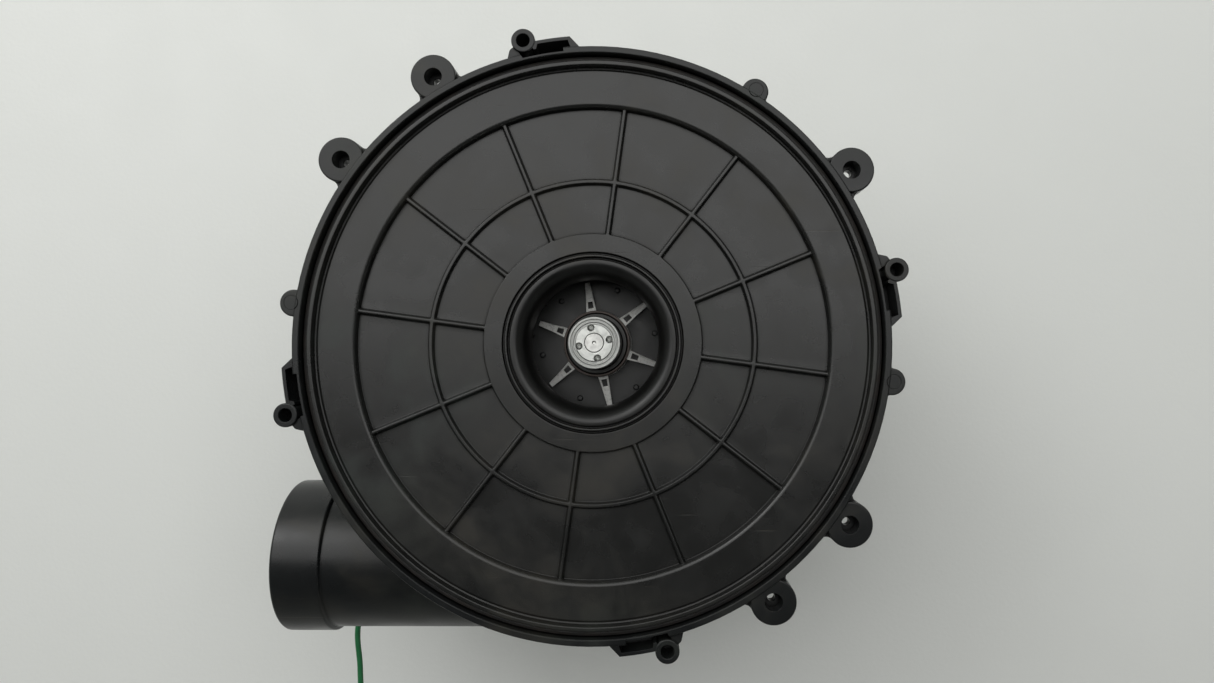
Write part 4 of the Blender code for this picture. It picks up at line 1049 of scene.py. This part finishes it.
def blade():
    """One backward-curved blade with a rounded nose."""
    stations = 18
    spine = []
    for step in range(stations + 1):
        share = step / stations
        radius = BLADE_INNER_R + (IMPELLER_R - 0.0006 - BLADE_INNER_R) * share
        spine.append((polar(radius, BLADE_SWEEP * share**0.8), radius))
    rings = []
    for i, (at, radius) in enumerate(spine):
        along = spine[min(i + 1, stations)][0] - spine[max(i - 1, 0)][0]
        width = BLADE_WIDTH * (0.35 if i == 0 else 1.0)
        normal = Vector((-along.y, along.x, 0.0)).normalized() * width / 2
        share = (radius - BACKPLATE_FLAT_R) / (IMPELLER_R - BACKPLATE_FLAT_R)
        floor = BACKPLATE_Z + (BACKPLATE_TIP_Z - BACKPLATE_Z) * max(0.0, share) - BACKPLATE_WALL / 2
        roof = SHROUD_EYE_Z + (SHROUD_TIP_Z - SHROUD_EYE_Z) * (radius - EYE_R) / (IMPELLER_R - EYE_R) - SHROUD_WALL / 2
        rings.append([
            at + normal + Vector((0, 0, floor)), at + normal + Vector((0, 0, roof)),
            at - normal + Vector((0, 0, roof)), at - normal + Vector((0, 0, floor)),
        ])
    return skin("blade", rings)


def impeller():
    bore = HUB_R + GAP
    wheel = turned("impeller_fine", [
        (bore, HUB_RING_Z), (HUB_RING_R, HUB_RING_Z, 0.0005), (HUB_RING_R, BACKPLATE_Z, 0.0012),
        (BACKPLATE_FLAT_R, BACKPLATE_Z, 0.01), (IMPELLER_R, BACKPLATE_TIP_Z),
        (IMPELLER_R, BACKPLATE_TIP_Z - BACKPLATE_WALL), (BACKPLATE_FLAT_R, BACKPLATE_Z - BACKPLATE_WALL, 0.01),
        (bore, BACKPLATE_Z - BACKPLATE_WALL),
    ], FINEST)
    shroud = turned("shroud", [
        (EYE_R + 0.0022, SHROUD_EYE_Z, 0.001), (IMPELLER_R, SHROUD_TIP_Z), (IMPELLER_R, SHROUD_TIP_Z - SHROUD_WALL),
        (EYE_R + 0.0022, SHROUD_EYE_Z - SHROUD_WALL, 0.001), (EYE_R, SHROUD_EYE_Z - SHROUD_WALL), (EYE_R, SHROUD_EYE_Z),
    ], FINEST)
    blades = merged("blades", copies(blade(), BLADE_COUNT, BLADE_START_ANGLE))
    gates = []
    for k in range(6):
        at = polar(0.0262, 11 + 60 * k)
        gates.append(turned("gate_mark", [
            (0.0, BACKPLATE_Z + 0.0006), (0.0009, BACKPLATE_Z + 0.0006, 0.0004), (0.0013, BACKPLATE_Z + 0.0002),
            (0.0013, BACKPLATE_Z - 0.0008), (0.0, BACKPLATE_Z - 0.0008),
        ], 24, centre=(at.x, at.y)))
    join(wheel, blades, shroud, merged("gate_marks", gates))
    tidy_mesh(wheel)
    return dress(wheel, "impeller", moulded_plastic("wheel_black", (0.0080, 0.0084, 0.0080), 0.38, 0.35))


def hub_insert():
    land, groove = 0.0077, 0.0093
    hub = turned("hub_insert_fine", [
        (SHAFT_R + 0.0001, HUB_TOP_Z - 0.0001), (SHAFT_R + 0.0003, HUB_TOP_Z, 0.0001), (land, HUB_TOP_Z, 0.0001),
        (land + 0.0002, HUB_TOP_Z - 0.0006), (groove - 0.0006, HUB_TOP_Z - 0.0006), (groove - 0.0005, HUB_TOP_Z - 0.0003),
        (groove, HUB_TOP_Z - 0.0003), (groove + 0.0002, HUB_TOP_Z - 0.0005), (groove + 0.0006, HUB_TOP_Z - 0.0005),
        (groove + 0.0008, HUB_TOP_Z - 0.0002), (HUB_R - 0.0003, HUB_TOP_Z - 0.0002, 0.0001), (HUB_R, HUB_TOP_Z - 0.0006),
        (HUB_R, HUB_LOW_Z + 0.0030), (HUB_FLANGE_R, HUB_LOW_Z + 0.0030), (HUB_FLANGE_R, HUB_LOW_Z), (SHAFT_R + 0.0001, HUB_LOW_Z),
    ], 96, 0.0001)
    holes = []
    for k in range(4):
        at = polar(HUB_HOLE_CIRCLE_R, HUB_HOLE_ANGLE + 90 * k)
        holes.append(turned("tool_hole", [
            (0.0, HUB_TOP_Z + 0.001), (HUB_HOLE_R + 0.0006, HUB_TOP_Z + 0.001, 0), (HUB_HOLE_R + 0.0002, HUB_TOP_Z + 0.00002, 0),
            (HUB_HOLE_R, HUB_TOP_Z - 0.0003), (HUB_HOLE_R, HUB_TOP_Z - 0.0042), (0.0, HUB_TOP_Z - 0.0050),
        ], COARSE, 0.0001, (at.x, at.y)))
    cut(hub, *holes)
    return dress(hub, "hub_insert", turned_metal("hub_aluminium", (0.56, 0.57, 0.55), 0.36, bright_inside=land))


def fin():
    """Sheet finger: two legs at the collar that meet in one flat strip, sloping down to its square end."""
    root_r = HUB_RING_R + GAP + 0.0004
    foot = BACKPLATE_Z + GAP
    top_z = HUB_RING_Z - 0.0022
    tip_z = foot + 0.0011
    stations = [
        (0.00, 0.0044), (0.12, 0.0041), (0.38, 0.0034), (0.45, 0.0032), (0.98, 0.0023), (1.00, 0.0022),
    ]
    window = (0.14, 0.40)
    rings_of = []

    def centre(share):
        radius = root_r + (FIN_END_R - root_r) * share
        drop = share**0.8
        return Vector((radius, 0.0, top_z + (tip_z - top_z) * drop))

    def strip(first, last, inner_share):
        """Rings of one leg, strip or raised edge, between two shares of the half width."""
        rings = []
        count = 12
        for step in range(count + 1):
            share = first + (last - first) * step / count
            before = [s for s in stations if s[0] <= share][-1]
            after = [s for s in stations if s[0] >= share][0]
            span = after[0] - before[0]
            width = before[1] if span <= 0 else before[1] + (after[1] - before[1]) * (share - before[0]) / span
            at = centre(share)
            half = width / 2
            rings.append((at, half * inner_share[0], half * inner_share[1]))
        return rings

    pieces = []
    raised = 0.00035
    for rings, lift in (
        (strip(0.0, 0.42, (0.62, 1.0)), 0.0), (strip(0.0, 0.42, (-1.0, -0.62)), 0.0),
        (strip(0.36, 1.0, (-1.0, 1.0)), 0.0), (strip(0.0, window[0], (-1.0, 1.0)), 0.0),
        (strip(0.0, 0.995, (0.80, 1.02)), raised), (strip(0.0, 0.995, (-1.02, -0.80)), raised),
    ):
        loops = []
        for at, left, right in rings:
            thick = 0.0007
            edge = 0.00006 if lift else 0.00012
            loop = [
                (left + edge, 0.0), (left, -edge), (left, -thick + edge), (left + edge, -thick),
                (right - edge, -thick), (right, -thick + edge), (right, -edge), (right - edge, 0.0),
            ]
            loops.append([at + Vector((0.0, y, z + lift)) for y, z in loop])
        pieces.append(skin("fin_strip", loops))
    web_low = foot
    for side in (-1, 1):
        loops = []
        for share in (0.0, 0.25, 0.5, 0.75, 0.98):
            at = centre(share)
            half = (0.0044 + (0.0022 - 0.0044) * share) / 2 - 0.0003
            y = side * half
            bottom = max(web_low, at.z - 0.0035)
            loops.append([
                Vector((at.x, y - 0.0002, at.z - 0.0004)), Vector((at.x, y + 0.0002, at.z - 0.0004)),
                Vector((at.x, y + 0.0002, bottom)), Vector((at.x, y - 0.0002, bottom)),
            ])
        pieces.append(skin("fin_web", loops))
    first = pieces[0]
    join(first, *pieces[1:])
    return first


def hub_spider():
    inner = HUB_RING_R + GAP
    foot = BACKPLATE_Z + GAP
    collar = turned("hub_spider_fine", [
        (inner + 0.0010, HUB_RING_Z - 0.0008, 0.0004), (inner + 0.0010, foot + 0.0006), (inner + 0.0016, foot),
        (inner, foot), (inner, HUB_RING_Z - 0.0008),
    ], 96, 0.0002)
    join(collar, *copies(fin(), FIN_COUNT, FIN_START_ANGLE))
    tidy_mesh(collar)
    return dress(collar, "hub_spider", stamped_steel("spider_steel", (0.95, 0.95, 0.92)))


# ---------------------------------------------------------------- rotor inside the motor

def shaft():
    bottom, top = low("shaft").z, high("shaft").z
    made = turned("shaft_fine", [
        (0.0, top - 0.0003), (0.0005, top - 0.0003, 0.0001), (0.0009, top, 0.0001), (SHAFT_R - 0.0002, top, 0.0001),
        (SHAFT_R, top - 0.0002, 0.0001), (SHAFT_R, bottom + 0.0004), (SHAFT_R - 0.0004, bottom), (0.0, bottom),
    ], FINE, 0.0001)
    return dress(made, "shaft", turned_metal("shaft_steel", (0.60, 0.60, 0.58), 0.32))


def rotor_inside():
    bottom, top = low("rotor_core").z, high("rotor_core").z
    radius = high("rotor_core").x
    core = ring_solid("rotor_core_fine", radius, ON_SHAFT_R, bottom, top)
    bar_circle = 0.0162
    slots, bars = [], []
    for k in range(6):
        at = polar(bar_circle, 7 + 60 * k)
        slots.append(turned("cage_slot", [
            (0.0, top + 0.002), (0.0019, top + 0.002, 0), (0.0019, bottom - 0.002, 0), (0.0, bottom - 0.002),
        ], 24, centre=(at.x, at.y)))
        bars.append(turned("cage_bar", [
            (0.0, top + 0.002), (0.0014, top + 0.002, 0), (0.0014, bottom - 0.002, 0), (0.0, bottom - 0.002),
        ], 24, centre=(at.x, at.y)))
    cut(core, *slots)
    dress(core, "rotor_core", laminated_steel("rotor_laminations", (0.30, 0.31, 0.33)))
    cage = ring_solid("rotor_cage_fine", 0.0190, 0.0100, top + 0.0003, high("rotor_cage").z, FINE, 0.0008)
    rear = ring_solid("rear_end_ring", 0.0190, 0.0100, low("rotor_cage").z, bottom - 0.0003, FINE, 0.0008)
    join(cage, rear, *bars)
    dress(cage, "rotor_cage", sheet_metal("cage_aluminium", (0.55, 0.56, 0.57), 0.45))
    for name in ("thrust_washer_front", "thrust_washer_rear"):
        washer = ring_solid(f"{name}_fine", high(name).x, ON_SHAFT_R, low(name).z, high(name).z)
        dress(washer, name, rubber(f"{name}_nylon", (0.70, 0.68, 0.60), (0.55, 0.52, 0.44)))


def cooling_fan():
    base = low("cooling_fan").z
    tip = high("cooling_fan").x
    fan = turned("cooling_fan_fine", [
        (ON_SHAFT_R, base + 0.008), (0.0075, base + 0.008, 0.0006), (0.0080, base + 0.0012, 0.001), (tip, base + 0.0012),
        (tip, base), (ON_SHAFT_R, base),
    ], 96)
    blade_length = 0.0225
    outline = rounded([
        (0.0185 - blade_length / 2, -0.0007), (0.0185 + blade_length / 2, -0.0007),
        (0.0185 + blade_length / 2, 0.0007), (0.0185 - blade_length / 2, 0.0007),
    ], 0.0004)
    vane = plate("fan_vane", [outline], base + 0.0010, base + 0.0079, 0.0003, 2)
    join(fan, *copies(vane, 8))
    return dress(fan, "cooling_fan", moulded_plastic("fan_white", (0.68, 0.68, 0.64), 0.45, 0.10))


def heat_slinger():
    base = low("heat_slinger").z
    rim = high("heat_slinger").x
    disc = turned("heat_slinger_fine", [
        (ON_SHAFT_R, base + 0.0028), (0.0065, base + 0.0028, 0.0005), (0.0065, base + 0.0012, 0.0008), (rim, base + 0.0012),
        (rim, base), (ON_SHAFT_R, base),
    ])
    return dress(disc, "heat_slinger", turned_metal("slinger_aluminium", (0.68, 0.69, 0.70), 0.32))


# ---------------------------------------------------------------- motor

def radial_window(width, height, centre_z, angle, depth=(0.033, 0.048)):
    """Cutter for a window with rounded corners through the motor's shell."""
    half_w, half_h = width / 2, height / 2
    outline = rounded([(-half_w, -half_h), (half_w, -half_h), (half_w, half_h), (-half_w, half_h)], 0.002, segments=6)
    rings = []
    for x in depth:
        rings.append([Vector((x, y, centre_z + z)) for y, z in outline])
    window = skin("window", rings)
    return moved(window, Matrix.Rotation(radians(angle), 4, "Z"))


def bolt_hole_cutters(bottom, top):
    made = []
    for angle in BOLT_ANGLES:
        at = polar(BOLT_CIRCLE_R, angle)
        made.append(turned("bolt_hole", [
            (0.0, top), (BOLT_HOLE_R, top, 0), (BOLT_HOLE_R, bottom, 0), (0.0, bottom),
        ], 24, centre=(at.x, at.y)))
    return made


def rear_end_bell():
    base, top = low("rear_end_bell").z, high("rear_end_bell").z
    bell = turned("rear_end_bell_fine", [
        (MOTOR_R, top, 0.0002), (MOTOR_R, base + 0.0062, 0.0016), (0.0400, base + 0.0042, 0.0012), (0.0310, base + 0.0042, 0.0016),
        (0.0260, base, 0.0016), (0.0160, base, 0.0005), (0.0152, base + 0.0006), (0.0123, base + 0.0006), (0.0123, base + 0.0027),
        (0.0083, base + 0.0027), (0.0083, 0.0190), (0.0110, 0.0190), (0.0125, 0.0072, 0.001), (0.0240, 0.0072, 0.001),
        (0.0290, 0.0112, 0.001), (SHELL_R, 0.0112, 0.001), (SHELL_R, top, 0.0002),
    ], FINEST, 0.0004)
    windows = [radial_window(0.016, 0.009, 0.0180, angle) for angle in VENT_ANGLES]
    outward = polar(1.0, LEAD_EXIT_ANGLE)
    exit_hole = turned("lead_exit", [
        (0.0, 0.045), (0.0046, 0.045, 0), (0.0046, 0.036, 0), (0.0, 0.036),
    ], COARSE)
    turn = outward.to_track_quat("Z", "Y").to_matrix().to_4x4()
    moved(exit_hole, Matrix.Translation((0, 0, 0.0180)) @ turn)
    cut(bell, *windows, *bolt_hole_cutters(0.001, 0.013), exit_hole)
    tidy_mesh(bell)
    return dress(bell, "rear_end_bell", sheet_metal("bell_zinc_rear", (0.50, 0.50, 0.48), 0.36, 0.25))


def front_end_bell():
    base, top = low("front_end_bell").z, high("front_end_bell").z
    bell = turned("front_end_bell_fine", [
        (0.0050, top), (0.0400, top, 0.0014), (MOTOR_R, top - 0.0021, 0.0014), (MOTOR_R, base, 0.0002), (SHELL_R, base, 0.0002),
        (SHELL_R, 0.0760, 0.001), (0.0125, 0.0760, 0.001), (0.0110, 0.0630), (0.0083, 0.0630), (0.0083, 0.0775), (0.0050, 0.0775),
    ], FINEST, 0.0004)
    windows = [radial_window(0.016, 0.011, 0.0655, angle) for angle in VENT_ANGLES]
    cut(bell, *windows, *bolt_hole_cutters(0.074, 0.082))
    tidy_mesh(bell)
    return dress(bell, "front_end_bell", sheet_metal("bell_zinc_front", (0.50, 0.50, 0.48), 0.36, 0.25))


def stator_core():
    bottom, top = low("stator_core").z, high("stator_core").z
    holes = [circle(polar(BOLT_CIRCLE_R, angle).xy, BOLT_HOLE_R, 24) for angle in BOLT_ANGLES]
    slots = [sector(0.0227, 0.0288, 30 * k - 5.6, 30 * k + 5.6, 5) for k in range(12)]
    edge = circle((0, 0), MOTOR_R, FINEST)
    core = plate("stator_core_fine", [edge, circle((0, 0), 0.0207, FINE), *slots, *holes], bottom, top, 0.0002, 1)
    return dress(core, "stator_core", laminated_steel("stator_laminations", (0.28, 0.28, 0.30)))


def stator_winding():
    """End turns as bundles of enamelled wire round both ends of the core, with coil sides in the slots."""
    rng = random.Random(7)
    bottom, top = low("stator_winding").z, high("stator_winding").z
    core_low, core_high = low("stator_core").z, high("stator_core").z
    wires = []
    for first, last in ((core_high + 0.0012, top), (bottom, core_low - 0.0012)):
        middle_z, half_z = (first + last) / 2, (last - first) / 2
        middle_r, half_r = 0.0271, 0.0046
        for k in range(26):
            around = 2 * pi * k / 26
            grow = 0.86 + 0.12 * rng.random()
            phase = rng.random() * 2 * pi
            points = []
            for step in range(120):
                a = 2 * pi * step / 120
                wave = 0.00035 * sin(4 * a + phase) + 0.0002 * sin(9 * a + 2 * phase)
                radius = middle_r + (half_r - 0.0006) * cos(around) * grow + wave
                height = middle_z + (half_z - 0.0006) * sin(around) * grow + wave * 0.7
                points.append(Vector((radius * cos(a), radius * sin(a), height)))
            wires.append(tube("end_turn", 0.00058, points, closed=True, sides=2))
    for k in range(12):
        side = plate("coil_side", [sector(0.0231, 0.0284, 30 * k - 5, 30 * k + 5, 4)], core_low - 0.005, core_high + 0.005, 0.0003, 1)
        wires.append(side)
    winding = merged("stator_winding_fine", wires)
    return dress(winding, "stator_winding", enamelled_copper("enamelled_copper"))


def bearings():
    for name in ("bearing_front", "bearing_rear"):
        made = ring_solid(f"{name}_fine", high(name).x, SHAFT_R + 0.0001, low(name).z, high(name).z)
        dress(made, name, porous_bronze(f"{name}_bronze"))


def rear_dust_cap():
    top = high("rear_dust_cap").z
    rim = high("rear_dust_cap").x
    cap = turned("rear_dust_cap_fine", [
        (0.0, top), (0.0120, top), (0.0120, 0.0025), (rim, 0.0025, 0.0006), (rim, 0.0, 0.0008), (rim - 0.0030, 0.0, 0.0003),
        (rim - 0.0036, 0.0004, 0.0003), (0.0020, 0.0004, 0.0003), (0.0014, 0.0, 0.0003), (0.0, 0.0),
    ])
    return dress(cap, "rear_dust_cap", moulded_plastic("cap_black", (0.014, 0.014, 0.014), 0.45))


def hexagon(across, centre, turn=0.0):
    corners = []
    for k in range(6):
        a = radians(60 * k + turn)
        corners.append((centre.x + across / 2 / cos(radians(30)) * cos(a), centre.y + across / 2 / cos(radians(30)) * sin(a)))
    return corners


def thread_profile(radius, bottom, top, pitch):
    """Half section of a rod whose surface has the ridges of a screw thread."""
    points = []
    z = top
    while z > bottom:
        points += [(radius - 0.00018, z, 0), (radius, z - pitch / 2, 0)]
        z -= pitch
    return points


def through_bolts():
    for number, angle in enumerate(BOLT_ANGLES, 1):
        at = polar(BOLT_CIRCLE_R, angle)
        node = f"through_bolt_{number}"
        bottom, top = low(node).z, high(node).z
        head_top = bottom + 0.0031
        bolt = turned(f"{node}_fine", [
            (0.0, top), (BOLT_R - 0.0004, top, 0), (BOLT_R - 0.0002, top - 0.0003, 0),
            *thread_profile(BOLT_R, 0.0795, top - 0.0004, 0.0007), (BOLT_R, 0.0790, 0),
            (BOLT_R, head_top - 0.0002, 0), (0.0, head_top - 0.0002),
        ], 24, centre=(at.x, at.y))
        head = plate("bolt_head", [hexagon(0.0064, at, angle)], bottom + 0.0002, head_top, 0.0003, 2)
        washer = turned("head_washer", [
            (0.0, bottom + 0.0004), (0.0024, bottom + 0.0004, 0), (0.0024, bottom, 0.0003), (0.0, bottom),
        ], 24, centre=(at.x, at.y))
        join(bolt, head, washer)
        dress(bolt, node, turned_metal(f"{node}_zinc", (0.60, 0.60, 0.57), 0.30))
        nut_node = f"bolt_nut_{number}"
        nut = plate(f"{nut_node}_fine", [hexagon(0.0068, at, angle), circle(at.xy, BOLT_HOLE_R - 0.0001, 24)],
                    low(nut_node).z, high(nut_node).z, 0.0003, 2)
        dress(nut, nut_node, turned_metal(f"{nut_node}_zinc", (0.60, 0.60, 0.57), 0.32))


def motor_plate():
    """Galvanised plate with vents, grommet holes and an earth hole."""
    holes = [circle(polar(PLATE_SCREW_CIRCLE_R, angle).xy, 0.0052) for angle in PLATE_SCREW_ANGLES]
    holes += [circle(polar(BOLT_CIRCLE_R, angle).xy, BOLT_HOLE_R, 24) for angle in BOLT_ANGLES]
    holes += [sector(0.0170, 0.0290, 60 * k + 8, 60 * k + 52, 14) for k in range(6)]
    holes.append(circle((0, 0), 0.0100, FINE))
    holes.append(circle(polar(GROUND_R, GROUND_ANGLE).xy, 0.0020, 24))
    made = plate("motor_plate_fine", [circle((0, 0), PLATE_R, FINEST), *holes], PLATE_LOW, PLATE_HIGH, 0.00025, 2)
    return dress(made, "motor_plate", sheet_metal("plate_galvanised", (0.55, 0.56, 0.57), 0.30, 0.8))


def isolators_and_screws():
    for number, angle in enumerate(PLATE_SCREW_ANGLES, 1):
        at = polar(PLATE_SCREW_CIRCLE_R, angle)
        node = f"plate_isolator_{number}"
        bottom, top = low(node).z, high(node).z
        bush = turned(f"{node}_fine", [
            (0.0075, top, 0.0006), (0.0075, PLATE_HIGH + GAP), (0.0049, PLATE_HIGH + GAP), (0.0049, PLATE_LOW - GAP),
            (0.0075, PLATE_LOW - GAP), (0.0075, bottom, 0.0006), (0.0025, bottom), (0.0025, top),
        ], 48, centre=(at.x, at.y))
        dress(bush, node, rubber(f"{node}_rubber", (0.04, 0.04, 0.045), (0.07, 0.07, 0.07)))
        node = f"plate_screw_{number}"
        bottom, top = low(node).z, high(node).z
        seat = bottom + 0.0028
        screw = turned(f"{node}_fine", [
            (0.0, top), (0.0012, top - 0.0003, 0), *thread_profile(0.0020, seat + 0.0060, top - 0.0006, 0.0008),
            (0.0020, seat + 0.0055, 0), (0.0020, seat), (0.0045, seat, 0.0003), (0.0045, bottom + 0.0016, 0.0008),
            (0.0036, bottom + 0.0004, 0.0006), (0.0, bottom),
        ], 48, centre=(at.x, at.y))
        slot = plate("screw_slot", [rounded([
            (-0.0042, -0.00055), (0.0042, -0.00055), (0.0042, 0.00055), (-0.0042, 0.00055)], 0.0001)],
            bottom - 0.001, bottom + 0.0011)
        moved(slot, Matrix.Translation((at.x, at.y, 0)) @ Matrix.Rotation(radians(30 + 47 * number), 4, "Z"))
        cut(screw, slot)
        dress(screw, node, turned_metal(f"{node}_zinc", (0.60, 0.60, 0.57), 0.30))


# ---------------------------------------------------------------- wiring

def ground_parts():
    at = polar(GROUND_R, GROUND_ANGLE)
    outward = polar(1.0, GROUND_ANGLE)
    screw_top = high("ground_screw").z
    bottom = low("ground_screw").z
    screw = turned("ground_screw_fine", [
        (0.0, screw_top), (0.0012, screw_top - 0.0002, 0),
        *thread_profile(0.0016, PLATE_LOW - 0.0010, screw_top - 0.0004, 0.0007), (0.0016, PLATE_LOW - 0.0015, 0),
        (0.0036, PLATE_LOW - 0.0015, 0.0003), (0.0036, bottom + 0.0008, 0.0005), (0.0028, bottom + 0.0001, 0.0004), (0.0, bottom),
    ], 48, centre=(at.x, at.y))
    dress(screw, "ground_screw", turned_metal("screw_green", (0.08, 0.27, 0.11), 0.35))
    plane = PLATE_LOW - GAP
    tongue = [
        (-0.0002, -0.0017), (0.0090, -0.0017), (0.0090, 0.0017), (-0.0002, 0.0017),
    ]
    terminal = plate("ground_terminal_fine", [circle((0, 0), 0.0040, 48), circle((0, 0), 0.0021, COARSE)],
                     low("motor_plate").z - 0.0012, plane, 0.0002, 2)
    strip = plate("terminal_tongue", [rounded([(0.0030 + x, y) for x, y in tongue], 0.0004)], plane - 0.00085, plane - 0.0001, 0.0001, 1)
    barrel = turned("terminal_barrel", [
        (0.0, 0.0070), (0.0019, 0.0070), (0.0021, 0.0060), (0.0021, 0.0042), (0.00185, 0.0038, 0.0003), (0.00185, 0.0028, 0.0003),
        (0.0021, 0.0024), (0.0021, 0.0004), (0.0019, 0.0), (0.0, 0.0),
    ], COARSE, 0.0002)
    along = Vector((1, 0, 0)).to_track_quat("Z", "Y").to_matrix().to_4x4()
    moved(barrel, Matrix.Translation((0.0080, 0.0, low("motor_plate").z - 0.0022)) @ along)
    join(terminal, strip, barrel)
    moved(terminal, Matrix.Translation((at.x, at.y, 0)) @ Matrix.Rotation(radians(GROUND_ANGLE), 4, "Z"))
    dress(terminal, "ground_terminal", turned_metal("terminal_tin", (0.66, 0.66, 0.64), 0.30))
    start = at + outward * 0.0153 + Vector((0, 0, PLATE_LOW - 0.0022))
    corners = [start, start + outward * 0.010] + [Vector(point) for point in GROUND_WIRE_WAYPOINTS]
    wire = tube("ground_wire_fine", 0.0014, smooth_path(corners, 10), sides=6)
    dress(wire, "ground_wire", jacket("wire_green", (0.012, 0.14, 0.045)))


def lead_parts():
    """Two motor leads through a bushing to a two-way plug."""
    outward = polar(1.0, LEAD_EXIT_ANGLE)
    across = Vector((outward.y, -outward.x, 0.0))
    height = Vector((0, 0, 0.0180))
    bushing = turned("lead_bushing_fine", [
        (0.0060, 0.0012, 0.0005), (0.0060, 0.0003), (0.0043, 0.0003), (0.0043, -0.0045), (0.0032, -0.0045), (0.0032, 0.0012),
    ], 48)
    turn = outward.to_track_quat("Z", "Y").to_matrix().to_4x4()
    moved(bushing, Matrix.Translation(outward * (MOTOR_R + 0.0002) + height) @ turn)
    dress(bushing, "lead_bushing", rubber("bushing_black", (0.02, 0.02, 0.02), (0.05, 0.05, 0.05)))
    plug_at = Vector((-0.0760, 0.0520, 0.0300))
    plug_turn = Matrix.Rotation(radians(12), 4, "Z")
    width, length, depth = 0.0140, 0.0220, 0.0090
    outline = rounded([
        (-width / 2, -length / 2), (width / 2, -length / 2), (width / 2, length / 2), (-width / 2, length / 2)], 0.0012)
    plug = plate("lead_plug_fine", [outline], -depth / 2, depth / 2, 0.0006, 3)
    cutters = []
    for side in (-1, 1):
        for end, radius, reach in ((1, 0.0020, 0.006), (-1, 0.0019, 0.010)):
            socket = turned("socket", [
                (0.0, 0.001), (radius + 0.0008, 0.001, 0), (radius, -0.0005), (radius, -reach), (0.0, -reach)], 24)
            facing = Vector((0, end, 0)).to_track_quat("Z", "X").to_matrix().to_4x4()
            moved(socket, Matrix.Translation((side * 0.0035, end * length / 2, 0)) @ facing)
            cutters.append(socket)
    for y in (-0.0045, 0.0045):
        groove = plate("grip_groove", [rounded([
            (-0.0050, y - 0.0006), (0.0050, y - 0.0006), (0.0050, y + 0.0006), (-0.0050, y + 0.0006)], 0.0005)],
            depth / 2 - 0.0005, depth / 2 + 0.001)
        cutters.append(groove)
    cut(plug, *cutters)
    moved(plug, Matrix.Translation(plug_at) @ plug_turn)
    tidy_mesh(plug)
    dress(plug, "lead_plug", moulded_plastic("plug_white", (0.72, 0.72, 0.68), 0.38, 0.10))
    inward = plug_turn.to_3x3() @ Vector((0, -1, 0))
    for side in (-1, 1):
        mouth = plug_at + plug_turn.to_3x3() @ Vector((side * 0.0035, length / 2, 0.0))
        name = "lead_wire_black" if side < 0 else "lead_wire_white"
        apart = across * side * 0.0016
        lift = Vector((0.0, 0.0, side * 0.0017))
        corners = [
            outward * 0.0380 + apart + height, outward * 0.0480 + apart + height,
            outward * 0.0640 + apart * 0.5 + lift + height,
            Vector((-0.0560 + side * 0.002, 0.0800 - side * 0.003, 0.0260)) + lift,
            mouth - inward * (0.009 - side * 0.002), mouth - inward * 0.003, mouth + inward * 0.004,
        ]
        color = (0.015, 0.015, 0.015) if side < 0 else (0.68, 0.68, 0.65)
        wire = tube(f"{name}_fine", 0.0012, smooth_path(corners, 10), sides=6)
        dress(wire, name, jacket(f"{name}_jacket", color))


# ---------------------------------------------------------------- stage

def aim(obj, at, target):
    obj.location = at
    obj.rotation_mode = "QUATERNION"
    obj.rotation_quaternion = (Vector(target) - Vector(at)).to_track_quat("-Z", "Y")


def soft_light(name, at, target, size, power, colour):
    data = bpy.data.lights.new(name, "AREA")
    data.shape = "RECTANGLE"
    data.size, data.size_y = size
    data.energy = power
    data.color = colour
    lamp = link(name, data)
    aim(lamp, at, target)
    return lamp


def studio():
    """Pale table that curves up into a plain wall all round, under one wide softbox at the back left and a dim sky."""
    floor_z = cad_box[0].z
    corners = [(0.0, floor_z), (2.4, floor_z, 0.8), (2.9, floor_z + 1.6), (3.0, floor_z + 1.6), (3.0, floor_z - 0.05), (0.0, floor_z - 0.05)]
    table = lathe("pale_floor", rounded(corners, 0.05, closed=False, segments=12), 96, closed=False)
    table.data.materials.append(floor_paint())
    table.data.shade_smooth()
    soft_light("ceiling", (-0.30, 1.08, 1.60), (-0.30, 1.08, 0.0), (3.0, 2.2), 40.5, (1.0, 1.0, 0.985))
    soft_light("corner", (-1.0, 0.9, 1.2), (0.0, 0.0, 0.1), (0.7, 0.7), 5.0, (1.0, 1.0, 0.99))
    world = bpy.data.worlds.new("soft_sky")
    world.use_nodes = True
    world.node_tree.nodes["Background"].inputs[0].default_value = (0.98, 1.0, 0.98, 1.0)
    world.node_tree.nodes["Background"].inputs[1].default_value = 0.10
    bpy.context.scene.world = world
    bpy.context.scene.view_settings.view_transform = "Standard"


def camera():
    data = bpy.data.cameras.new("photo_view")
    data.sensor_width = 36.0
    data.lens = data.sensor_width * LENS_WIDTHS
    data.shift_x, data.shift_y = LENS_SHIFT
    data.clip_start = 0.01
    eye = link("photo_view", data)
    eye.location = EYE
    view = (LOOK_AT - EYE).normalized()
    right = view.cross(Vector((0, 1, 0))).normalized()
    up = right.cross(view)
    eye.rotation_mode = "QUATERNION"
    eye.rotation_quaternion = Matrix((right, up, -view)).transposed().to_quaternion()
    bpy.context.scene.camera = eye


def main():
    volute_housing()
    inlet_cover()
    seals()
    impeller()
    hub_insert()
    hub_spider()
    shaft()
    rotor_inside()
    cooling_fan()
    heat_slinger()
    rear_end_bell()
    front_end_bell()
    stator_core()
    stator_winding()
    bearings()
    rear_dust_cap()
    through_bolts()
    motor_plate()
    isolators_and_screws()
    ground_parts()
    lead_parts()
    studio()
    camera()


main()
